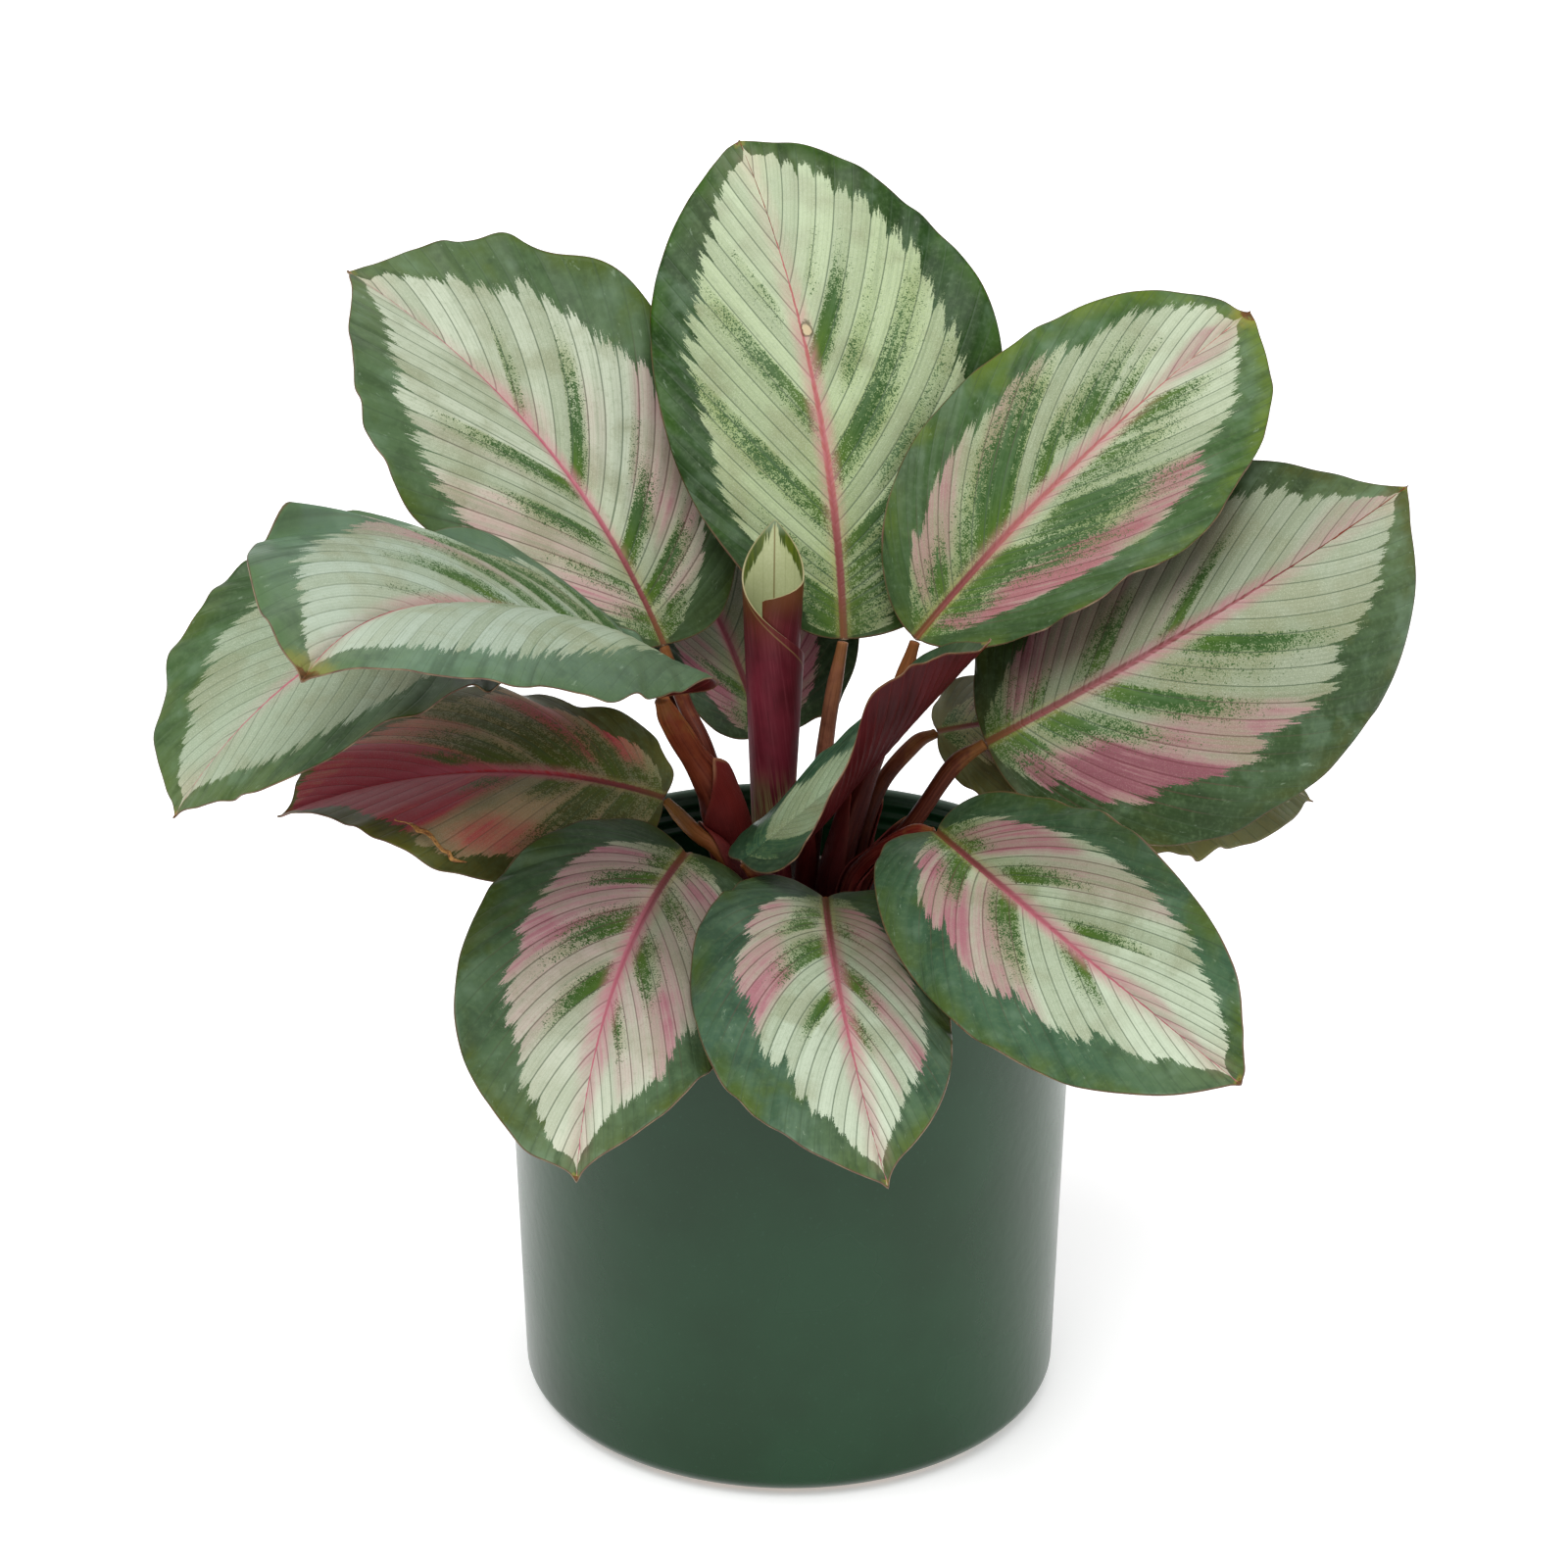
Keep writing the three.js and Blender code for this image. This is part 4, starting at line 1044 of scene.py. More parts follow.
            [(20, 40), (26, 50), (34, 58), (40, 65), (47, 80), (50, 94), (56, 87), (70, 87), (80, 90),
             (90, 100)],
        ),
        patches=(
            [(34, 6, 5, 50, 80), (47, 5, 5, 60, 85), (57, 4, 5, 25, 80), (69, 3, 10, 35, 50)],
            [(30, 6, 10, 30, 70), (42, 5, 3, 55, 75), (55, 6, 5, 80, 85), (67, 4, 8, 60, 80),
             (74, 3, 12, 40, 70)],
        ),
        rosy=(
            [(25, 40, 35, 80, 60), (48, 62, 50, 70, 50), (66, 100, 0, 90, 120), (74, 100, 0, 60, 180)],
            [(27, 38, 25, 60, 80), (42, 50, 20, 70, 80), (60, 74, 50, 85, 55), (70, 100, 0, 90, 120),
             (76, 100, 0, 60, 190)],
        ),
    ),
    "arched": dict(
        bearing=199.5, rise=43, roll=8.5, length=150, droop=48, sweep=60, twist=-4, left=(58.5, 32.5, -59),
        right=(40, 42.5, -49), widest=0.59, lobe=8.5, drip=5, lift_to_tip=-6, lean=(0.3, 0.06), halo=0.75,
        frill=(0.6, 3.2), quilt=0.5, veins=0.5, dry=6, shine=0.3,
        margin=(
            (0, 0, 3, 10, 18, 21, 22, 24, 30, 38, 46, 46, 33, -13, -41, -35, -4, 20, 24, 13, 1, -5, -2, 9),
            (0, 0, 0, 1, 1, 1, 0, -3, -7, -14, -23, -32, -38, -33, -9, -8, -2, -1, -5, -6, 0, 5, 9, 6),
        ),
        tints=dict(
            silver=(144, 158, 142), margin=(82, 106, 84), bright=(72, 98, 60), warm=(128, 142, 112),
            rib=(176, 92, 98),
        ),
        border=(
            [(15, 20), (25, 42), (42, 66), (50, 76), (58, 82), (64, 86), (70, 85), (78, 84), (86, 78),
             (90, 73), (95, 55)],
            [(20, 45), (35, 70), (45, 78), (58, 77), (70, 78), (74, 82), (82, 78), (90, 75), (95, 70)],
        ),
        patches=(
            [(45, 4, 5, 40, 40), (60, 3, 2, 35, 60), (74, 2, 5, 30, 30)],
            [(20, 4, 10, 80, 70), (30, 3.5, 5, 90, 85), (39, 3, 10, 90, 70), (48, 3, 5, 80, 80),
             (57, 2, 5, 50, 60), (66, 2.5, 2, 45, 80), (78, 2, 5, 30, 30)],
        ),
        rosy=([(70, 76, 2, 20, 30)], [(50, 57, 30, 75, 55), (35, 42, 30, 80, 30)]),
    ),
    "far_left": dict(
        bearing=235.5, rise=13.5, roll=-31.5, length=118, droop=72, sweep=1, twist=28.5,
        left=(45, -0.5, 16.5), right=(43.5, -7, 0.2), widest=0.44, lobe=3, drip=5, lift_to_tip=9.5,
        lean=(0.1, 0.1), halo=0.3, frill=(1.6, 1.1), quilt=0.6, veins=0.6, shine=0.15,
        margin=(
            (0, 0, 0, 1, 2, 3, 5, 6, 6, 4, -3, -13, -23, -31, -31, -15, 15, 32, 21, -3, -15, -18, -9, -5),
            (0, 0, 0, 0, 0, 0, 0, 1, 2, 4, 7, 10, 12, 0, -19, 8, 10, -9, -12, 2, -2, -2, 4, -1),
        ),
        tints=dict(silver=(130, 144, 120), margin=(52, 78, 40), bright=(70, 88, 36), warm=(128, 142, 108)),
        border=(
            [(20, 20), (50, 60), (60, 70), (70, 78), (78, 83), (85, 75), (90, 72), (95, 55)],
            [(20, 20), (55, 70), (65, 77), (78, 80), (80, 73), (90, 80), (95, 85)],
        ),
        patches=([(55, 2.5, 5, 35, 35)], [(50, 3, 5, 30, 40)]),
    ),
    "back": dict(
        bearing=121, rise=58, roll=5, length=114, droop=38.5, sweep=12.5, twist=2, left=(37.5, 13.5, 3),
        right=(45.5, 15, 3.5), widest=0.49, lobe=5, drip=5, lift_to_tip=1.5, lean=(0.1, 0.1), halo=1,
        margin=(
            (0, 1, 0, -2, 1, 4, 4, 3, 2, 1, 1),
            (0, 1, 1, -1, 20, 10, 6, -1),
        ),
        # the silver and margin tints are painted dull and dark, as the shade it stands in at the back
        tints=dict(silver=(126, 132, 112), margin=(34, 54, 32), bright=(52, 70, 30)),
        border=(
            [(15, 30), (20, 45), (30, 50), (40, 60), (60, 75), (90, 80)],
            [(15, 35), (25, 50), (30, 55), (40, 60), (60, 75), (90, 80)],
        ),
        patches=([(40, 3, 0, 35, 80)], [(42, 3, 0, 35, 80)]),
        rosy=(
            [(15, 27, 20, 50, 80), (27, 38, 20, 50, 100), (40, 50, 20, 70, 60)],
            [(15, 27, 20, 50, 80), (27, 38, 20, 50, 100), (40, 50, 20, 70, 60)],
        ),
    ),
    "right_back": dict(
        bearing=3, rise=12, roll=15.5, length=117.5, droop=51.5, sweep=-6, twist=2, left=(36, 1.5, -16.5),
        right=(38.5, -6.5, -32.5), widest=0.47, lobe=5, drip=5, lift_to_tip=-4, lean=(0.1, 0.1), halo=0.6,
        frill=(1.2, 1.6),
        margin=(
            (),
            (0, 2, 2, -1, 1, -6, -13, -14, -12, -9, -4, 2, 10, 21, 35, 19, -3, -7, 3, 3, 0, 1, 1, -4),
        ),
        # the tints are painted pale to make up for the shade it lies in behind the right leaf
        tints=dict(silver=(192, 180, 128), margin=(112, 108, 60), bright=(116, 112, 56)),
        painted_shade=([(40, 0), (75, 60)], [(40, 0), (75, 60)]),
        border=(HIDDEN_BORDER, HIDDEN_BORDER),
        patches=([(40, 3, 0, 35, 80), (60, 3, 5, 40, 80)], [(42, 3, 0, 35, 80), (62, 3, 5, 40, 80)]),
        rosy=([(30, 45, 20, 60, 60)], [(30, 45, 20, 60, 60)]),
    ),
    "twisted": dict(
        bearing=33.5, rise=26, roll=30.5, length=91.5, droop=-22.5, sweep=-4, twist=-11,
        left=(24, -33, -48.5), right=(35, 18.5, 71.5), widest=0.5, lobe=3.5, drip=5, lift_to_tip=32.5,
        lean=(0.1, 0.1), halo=0, veins=0.5,
        margin=(
            (0, 0, 0, 0, 0, 0, -1, -2, -3, -5, -6, -7, -6, -1, 2, 3, 2, 2, 1, 1),
            (0, 0, 0, -1, -1, -1, 0, 2, 7, 15, 25, 35, 43, 40, 31, 34, 37, 31, 22, 14, 7, 3, 1),
        ),
        tints=dict(
            silver=(126, 144, 114), warm=(84, 108, 72), margin=(30, 62, 44), bright=(40, 74, 50),
            rib=(58, 84, 58), patch=(30, 64, 44),
        ),
        painted_shade=([(30, 0), (60, 10), (80, 60)], [(50, 20), (80, 70)]),
        border=(
            [(22, 2), (27, 30), (31, 15), (36, 50), (41, 35), (47, 60), (52, 40), (58, 50), (66, 35),
             (80, 45), (90, 20)],
            [(22, 2), (27, 40), (31, 22), (36, 60), (40, 40), (45, 66), (50, 40), (58, 45), (66, 25),
             (80, 30), (92, 10)],
        ),
        patches=([(32, 8, 0, 70, 120)], [(33, 8, 0, 70, 120)]),
    ),
}


def midrib(leaf):
    """Points along a midrib, and its directions ahead, to the left and up, from stalk to tip."""
    bearing, rise, roll = (math.radians(leaf[key]) for key in ("bearing", "rise", "roll"))
    droop, sweep, twist = (math.radians(leaf[key] / MIDRIB_STEPS) for key in ("droop", "sweep", "twist"))
    flat = Vector((math.cos(bearing), math.sin(bearing), 0))
    ahead = flat * math.cos(rise) + Vector((0, 0, math.sin(rise)))
    left = Matrix.Rotation(roll, 3, ahead) @ Vector((-flat.y, flat.x, 0))
    point = Vector(leaf["base"])
    stations = [(*point, *ahead, *left, *ahead.cross(left))]
    for _ in range(MIDRIB_STEPS):
        turn = (
            Matrix.Rotation(droop, 3, left)
            @ Matrix.Rotation(sweep, 3, ahead.cross(left))
            @ Matrix.Rotation(twist, 3, ahead)
        )
        after = turn @ ahead
        point = point + (ahead + after).normalized() * (leaf["length"] / MIDRIB_STEPS)
        ahead, left = after, turn @ left
        stations.append((*point, *ahead, *left, *ahead.cross(left)))
    return np.array(stations)


def smooth_blade(leaf, reach, q, t):
    """Where side vein q, at its share t from midrib to margin, lies on the smooth flat blade."""
    length, widest = leaf["length"], leaf["widest"]
    angle = math.pi * q
    to_tip = np.maximum(2 * q - 1, 0)
    near = q <= 0.5
    margin_x = (
        widest * length * np.where(near, 1 - np.cos(angle), 1)
        + (1 - widest) * length * np.sin(math.pi / 2 * to_tip) ** SHOULDER
        - leaf["drip"] * to_tip**2 * (1 - to_tip**10)
        - np.where(near, leaf["lobe"] * np.sin(2 * angle), 0)
    )
    narrowing = np.abs(np.cos(math.pi / 2 * to_tip)) ** TAPER
    margin_y = reach * np.where(near, np.sin(angle), narrowing)
    vein_x = length * q**GATHER
    bend = 2 * t * (1 - t)
    x = vein_x * ((1 - t) ** 2 + bend) + bend * LEAN * (margin_x - vein_x) + t * t * margin_x
    return x, (bend * SPREAD + t * t) * margin_y


def flat_blade(leaf, side, q, t):
    """The same on the real blade, whose margin swings in and out of the smooth line."""
    reach = leaf["left" if side > 0 else "right"][0]
    x, y = smooth_blade(leaf, reach, q, t)
    one = np.ones_like(q)
    ahead_x, ahead_y = smooth_blade(leaf, reach, np.minimum(q + VEIN_STEP, 1), one)
    behind_x, behind_y = smooth_blade(leaf, reach, np.maximum(q - VEIN_STEP, 0), one)
    run = np.hypot(ahead_x - behind_x, ahead_y - behind_y) + 1e-9
    swings = leaf["margin"][0 if side > 0 else 1]
    swings = np.array([*swings] + [0] * (MARGIN_STEPS + 1 - len(swings))) / 10
    offset = sum(between(swings, q * MARGIN_STEPS)) * t * t
    return x - (ahead_y - behind_y) / run * offset, y + (ahead_x - behind_x) / run * offset


def grown_half(leaf, stations, side, q, t):
    """The points of one half of a blade, bent along its midrib, lifted, curled, waved and frilled."""
    reach, lift, curl = leaf["left" if side > 0 else "right"]
    x, y = flat_blade(leaf, side, q, t)
    share = np.clip(x / leaf["length"], 0, 1)
    place = share * MIDRIB_STEPS
    before = np.minimum(place.astype(int), MIDRIB_STEPS - 1)
    rest = (place - before)[..., None]
    here = stations[before] * (1 - rest) + stations[before + 1] * rest
    raised = np.radians(lift + leaf["lift_to_tip"] * share)
    curled = math.radians(curl)
    turned = raised + curled * y / reach
    out = reach / curled * (np.sin(turned) - np.sin(raised))
    up = reach / curled * (np.cos(raised) - np.cos(turned))
    phase = LEFT_PHASE if side > 0 else 0
    waved = MARGIN_WAVE * t**WAVE_GROWTH * np.sin(2 * math.pi * (MARGIN_WAVES * q + phase))
    wander = FRILL_WANDER * np.sin(FRILL_WANDERS * q + leaf["length"] + side)
    pleat = FRILLS * (q + wander) + FRILL_OFFSET * leaf["length"] * side
    second = SECOND_FRILL * np.sin(2 * math.pi * (SECOND_FRILLS * pleat + SECOND_PHASE))
    frilled = leaf["frill"][0 if side > 0 else 1] * t**FRILL_GROWTH * (np.sin(2 * math.pi * pleat) + second)
    ripple = (waved + frilled) * (y / reach) * np.sqrt(np.abs(np.sin(math.pi * q)))
    return (
        here[..., 0:3]
        + here[..., 3:6] * (x - share * leaf["length"])[..., None]
        + here[..., 6:9] * (side * out)[..., None]
        + here[..., 9:12] * (up + ripple)[..., None]
    )


def ease(value, low, high):
    share = np.clip((value - low) / (high - low), 0, 1)
    return share * share * (3 - 2 * share)


def half_notes(leaf, side, q, t, seed):
    """What the leaf's pattern reads at each point of one half, as four notes of three values."""
    which = 0 if side > 0 else 1

    def spot(q, t):
        return np.stack(flat_blade(leaf, side, q, t), -1)

    s = q - leaf["lean"][which] * t * 4 * q * (1 - q)
    x, y = flat_blade(leaf, side, q, t)
    edge = spot(np.linspace(0, 1, EDGE_POINTS), np.ones(EDGE_POINTS))
    away = np.sqrt((x[..., None] - edge[:, 0]) ** 2 + (y[..., None] - edge[:, 1]) ** 2).min(axis=-1)
    after, before = np.minimum(q + VEIN_STEP / 2, 1), np.maximum(q - VEIN_STEP / 2, 0)
    ahead = spot(after, t) - spot(before, t)
    vein = spot(q, np.minimum(t + SHARE_STEP, 1)) - spot(q, np.maximum(t - SHARE_STEP, 0))
    cross = np.abs(ahead[..., 0] * vein[..., 1] - ahead[..., 1] * vein[..., 0])
    spacing = cross / (np.linalg.norm(vein, axis=-1) + 1e-9) / (after - before) / SIDE_VEINS
    places, shares = np.array(leaf["border"][which]).T / 100
    border = np.interp(q, (0, 0.1, *places, 1), (0, 0, *shares, shares[-1] * 0.9))
    patch = FOOT_WASH * (1 - ease(s, 0.2, 0.4)) * (1 - ease(t, 0.05, 0.6))
    for middle, half_width, start, end, strength in np.array(leaf["patches"][which]) / 100:
        # crisp along the main vein on the tip's side, and fading towards the stalk and the margin
        beyond = (s - middle) / half_width
        across = (1 - ease(beyond, 0.6, 1.1)) * ease(beyond, -2.4, 0)
        along = ease(t, start - 0.08, start + 0.05) * (1 - ease(t, end * 0.35, end * 1.5))
        patch = np.maximum(patch, strength * across * along)
    rosy = np.zeros_like(s)
    for first, last, start, end, strength in np.array(leaf["rosy"][which]) / 100:
        across = ease(s, first - 0.03, first + 0.02) * (1 - ease(s, last - 0.02, last + 0.03))
        along = ease(t, start - 0.14, start + 0.06) * (1 - ease(t, end, end + 0.22))
        rosy = np.maximum(rosy, strength * across * along)
    # painted shade: how much duller and darker the leaf is painted along this half
    painted_shade = np.interp(q, *(np.array(leaf["painted_shade"][which]).T / 100))
    return (
        np.stack([s, side * t, np.full_like(s, seed)], -1),
        np.stack([y, spacing, away], -1),
        np.stack([border - t, patch, rosy], -1),
        np.stack([painted_shade, leaf["length"] - x, side * y], -1),
    )


def blade(name, leaf, seed, materials):
    stations = midrib(leaf)
    q, t = np.meshgrid(np.linspace(0, 1, BLADE_ROWS + 1), BLADE_HALF_COLUMNS, indexing="ij")
    right, left = (
        (grown_half(leaf, stations, side, q, t), *half_notes(leaf, side, q, t, seed)) for side in (-1, 1)
    )
    grid, vein, flat, mark, mood = (
        np.concatenate([r[:, :0:-1], l], axis=1) for r, l in zip(right, left)
    )
    for row in (0, -1):
        grid[row] = grid[row, len(BLADE_HALF_COLUMNS) - 1]
    share = np.abs(vein[..., 1])
    swell = 0.5 - 0.5 * np.cos(2 * math.pi * vein[..., 0] * SIDE_VEINS)
    # the swell between side veins fades by the midrib, at the margin and where the veins crowd
    calm = ease(share, 0.03, 0.25) * (1 - ease(share, 0.8, 1)) * ease(flat[..., 1], 1.6, 4.2)
    groove = np.exp(-((flat[..., 0] / RIB_HALF_WIDTH) ** 2))
    relief = QUILTING * leaf["quilt"] * (swell - 0.5) * calm - RIB_GROOVE * groove
    relief[0] = relief[-1] = 0
    grid = grid + sheet_normals(grid)[0] * relief[..., None]
    # the rearmost shoulder of the tallest leaf curls forward
    start = BACK_LIMIT - BACK_SOFTENING
    curled = start + BACK_SOFTENING * np.tanh((grid[..., 1] - start) / BACK_SOFTENING)
    grid[..., 1] = np.where(grid[..., 1] > start, curled, grid[..., 1])
    thickness = BLADE_EDGE + (BLADE_MIDDLE - BLADE_EDGE) * (1 - share)
    notes = {"vein": vein, "flat": flat, "mark": mark, "mood": mood}
    return thin_sheet(name, grid, thickness, materials, notes)


def leaf_pattern():
    """The upper face: silver with feathered teeth, green margin and patches, rosy areas, veins."""
    inputs = dict.fromkeys(("Silver", "Warm", "Margin", "Bright", "Patch", "Rosy", "Rib"), "Color")
    inputs |= dict(Halo="Float", Dry="Float", Shine="Float", Veins="Float", Scar="Vector")
    outputs = dict(Color="Color", Roughness="Float", Height="Float")
    group, web, given, result = new_tree("leaf_pattern", "Shader", inputs, outputs)
    add, less, times, sway, step = web.add, web.less, web.times, web.sway, web.step
    mix, coats, noise, absolute = web.mix, web.coats, web.noise, web.absolute
    s, t, seed = web.note("vein")
    from_rib, spacing, to_margin = web.note("flat")
    border, patch, rosy = web.note("mark")
    painted_shade, ahead, aside = web.note("mood")

    def length_of(x, y):
        made = web.node("ShaderNodeVectorMath", operation="LENGTH")
        web.feed(made.inputs[0], web.point(x, y, 0))
        return made.outputs["Value"]

    to_tip = length_of(ahead, aside)
    where = web.place()
    out = absolute(t)
    key = add(times(seed, 7.3), times(web.math("SIGN", t), 2.1))

    def strips(count, along, detail, roughness):
        """A noise that changes slowly along the side veins and fast across them."""
        return noise(web.point(times(s, count), times(out, along), key), 1, detail, roughness)

    u = times(s, SIDE_VEINS)
    number = web.math("FLOOR", u)
    inside = less(u, number)
    centre = absolute(less(inside, 0.5))
    from_vein = times(less(0.5, centre), spacing)

    def drawn(row):
        """One random value for each strip between side veins."""
        fed = {"Vector": web.point(number, key, row)}
        return web.node("ShaderNodeTexWhiteNoise", fed, noise_dimensions="3D").outputs["Value"]

    luck = drawn(0.5)
    fate = drawn(4.5)
    grain = noise(where, 2300, 3, 0.62)
    mottle = noise(where, 620, 3, 0.6)
    pearl = noise(where, 3600)
    cloud = noise(where, 55, 3, 0.55)
    sheen_and_fold_shade = noise(where, 95, 3, 0.6)
    feather = strips(240, 9, 3, 0.6)
    streak = strips(110, 2.2, 4, 0.6)
    wave_light_and_shade = strips(30, 1.6, 3, 0.55)

    # the silver ends in teeth, one for each strip, frayed into bristles
    notch = times(web.math("POWER", times(centre, 2), 3), add(0.03, times(luck, 0.06)))
    edge = add(less(border, notch), less(sway(inside, 0.03), times(fate, 0.035)))
    edge = less(edge, times(step(to_tip, 2.5, 11.0, 0.5, 0), step(rosy, 0.8, 1.4, 1, 0)))
    frayed = add(add(edge, sway(feather, 0.2)), sway(grain, 0.06))
    flecks = times(step(grain, 0.62, 0.66), step(edge, -0.05, -0.005))
    silvery = web.math("MAXIMUM", step(frayed, -0.004, 0.006), times(flecks, 0.7))

    # the silver is darker and greener towards the stalk; each strip has a tone of its own, painted
    # light and shade as if each facet between the side veins met the light at its own slope
    near_rib = step(from_rib, 1.0, 13.0, 1, 0)
    glow = web.math("MAXIMUM", times(near_rib, step(s, 0.8, 0.3)), step(patch, 0.0, 0.5, 0, 0.7))
    silver = coats(
        given["Silver"],
        (times(glow, step(cloud, 0.3, 0.65, 0.25, 0.85)), given["Warm"]),
        (step(luck, 0.25, 0.9, 0, 0.45), (104, 116, 82)),
        (step(mottle, 0.5, 0.75, 0, 0.35), (104, 118, 88)),
        (step(cloud, 0.45, 0.66, 0, 0.5), (112, 114, 80)),
        (step(pearl, 0.45, 0.75, 0, 0.3), (196, 204, 184)),
        (step(streak, 0.3, 0.5, 0.3, 0), (86, 104, 72)),
        (times(step(s, 0.62, 0.92), given["Shine"]), (196, 206, 186)),
        (step(to_tip, 3.0, 18.0, 0.4, 0), (168, 156, 132)),
        (step(s, 0.2, 0.62, 0.24, 0), (104, 110, 58)),
    )

    # rosy areas, deepest along the middle of their strips
    blush = times(rosy, add(0.75, times(fate, 0.55)))
    blush = times(blush, step(streak, 0.25, 0.7, 0.7, 1.3))
    blush = times(blush, step(cloud, 0.3, 0.65, 1.2, 0.75))
    pink = coats(
        given["Rosy"],
        (step(blush, 0.6, 1.35, 0, 0.75), mix(0.5, given["Rib"], (112, 44, 74))),
        (step(mottle, 0.5, 0.8, 0, 0.35), (134, 92, 88)),
        (step(pearl, 0.5, 0.8, 0, 0.25), (190, 158, 154)),
    )

    # green runs out along the main veins as a wash that breaks up into specks
    strength = times(patch, add(1, add(sway(streak, 2.1), sway(cloud, 0.9))))
    speck = step(add(times(grain, 0.7), times(mottle, 0.3)), 0.34, 0.66)
    green = step(less(strength, add(times(speck, 0.95), 0.04)), -0.09, 0.09)
    lime = times(step(patch, 0.35, 0.8), times(near_rib, step(streak, 0.3, 0.6, 0.4, 0.85)))
    leafy = coats(
        given["Patch"],
        (step(streak, 0.35, 0.7), mix(0.5, given["Patch"], (78, 104, 66))),
        (step(mottle, 0.45, 0.7, 0, 0.35), (78, 102, 62)),
        (times(lime, step(given["Halo"], 0.0, 0.3)), mix(0.35, (80, 106, 10), given["Patch"])),
    )
    middle = coats(
        silver,
        (step(blush, 0.0, 1.15, 0, 0.95), pink),
        (step(strength, 0.08, 0.8, 0, 0.5), (96, 120, 76)),
        (green, leafy),
    )

    # the margin is dark by the stalk and paler at the tip, with olive towards its edge; over it lie broad
    # bands of painted light and shade as if from its waves, painted shade in dark folds, and a greyish
    # painted sheen in soft patches and in pale lines along the veins
    def dark(share, colour):
        """A dark colour with a share of the leaf's own margin in it."""
        return mix(share, colour, given["Margin"])

    olive = times(step(to_margin, 0.5, 7.0, 0.85, 0), step(cloud, 0.4, 0.6))
    margin = coats(
        given["Margin"],
        (step(s, 0.62, 0.95, 0, 0.5), (92, 106, 66)),
        (step(wave_light_and_shade, 0.42, 0.7, 0, 0.22), (92, 118, 84)),
        (step(sheen_and_fold_shade, 0.5, 0.7, 0, 0.26), (112, 136, 112)),
        (step(sheen_and_fold_shade, 0.34, 0.48, 0.45, 0), dark(0.35, (16, 34, 12))),
        (web.math("MAXIMUM", olive, step(cloud, 0.58, 0.72, 0, 0.55)), given["Bright"]),
        (step(wave_light_and_shade, 0.28, 0.5, 0.6, 0), dark(0.4, (20, 36, 8))),
        (step(s, 0.15, 0.6, 0.5, 0), dark(0.35, (24, 34, 4))),
        (step(mottle, 0.45, 0.75, 0, 0.25), (90, 112, 76)),
        (step(strips(60, 14, 4, 0.7), 0.64, 0.7, 0, 0.32), (134, 152, 128)),
    )

    # fine side veins, a rosy glow beside the midrib, and the midrib itself
    thin = absolute(less(web.math("FRACT", times(u, 4)), 0.5))
    minor = times(step(thin, 0.36, 0.5), step(spacing, 2.5, 5.0))
    line = times(times(step(from_vein, 0.1, 0.34, 1, 0), step(spacing, 1.0, 3.0)), given["Veins"])
    beside = times(step(from_rib, 1.0, 1.5), step(from_rib, 1.7, 2.7, 1, 0))
    beside = times(beside, times(given["Halo"], step(s, 0.42, 0.68, 0.34, 0)))
    halo = times(step(from_rib, 0.8, 4.6, 1, 0), given["Halo"])
    ends = times(step(s, 0.4, 0.64, 0.1, 1), step(to_tip, 2.0, 12.0, 0.1, 1))
    ends = times(ends, step(s, 0.78, 0.88, 1, 0.3))
    halo = times(halo, times(ends, step(streak, 0.3, 0.65, 0.45, 1)))
    wide = step(s, 0.55, 0.97, 1.5, 0.1)
    rib = step(add(from_rib, sway(streak, 0.8)), times(wide, 0.55), wide, 1, 0)
    stripe = step(from_rib, 0.0, times(wide, 0.6), 1, 0)
    ribbed = coats(
        given["Rib"],
        (step(streak, 0.35, 0.65, 0, 0.4), (172, 116, 122)),
        (times(stripe, step(s, 0.35, 0.85, 0.6, 0.3)), (134, 58, 70)),
        (step(s, 0.45, 0.66, 0.85, 0), (108, 54, 50)),
        (step(s, 0.25, 0.42, 0.8, 0), (104, 68, 34)),
    )
    tone = coats(
        margin,
        (silvery, middle),
        (times(minor, step(silvery, 0, 1, 0.12, 0.16)), (60, 78, 52)),
        (
            times(line, step(silvery, 0, 1, 0.3, 0.66)),
            mix(web.math("MINIMUM", blush, 1.0), (56, 74, 52), (92, 44, 50)),
        ),
        (times(beside, step(streak, 0.3, 0.6, 0.5, 1)), (146, 146, 70)),
        (times(halo, 0.8), mix(0.4, (184, 118, 134), given["Rib"])),
        (times(rib, step(given["Halo"], 0.0, 0.2)), ribbed),
    )
    # painted shade: the leaf is painted duller and darker where it lies in shade
    tone = mix(painted_shade, tone, mix(0.25, (36, 34, 8), tone))

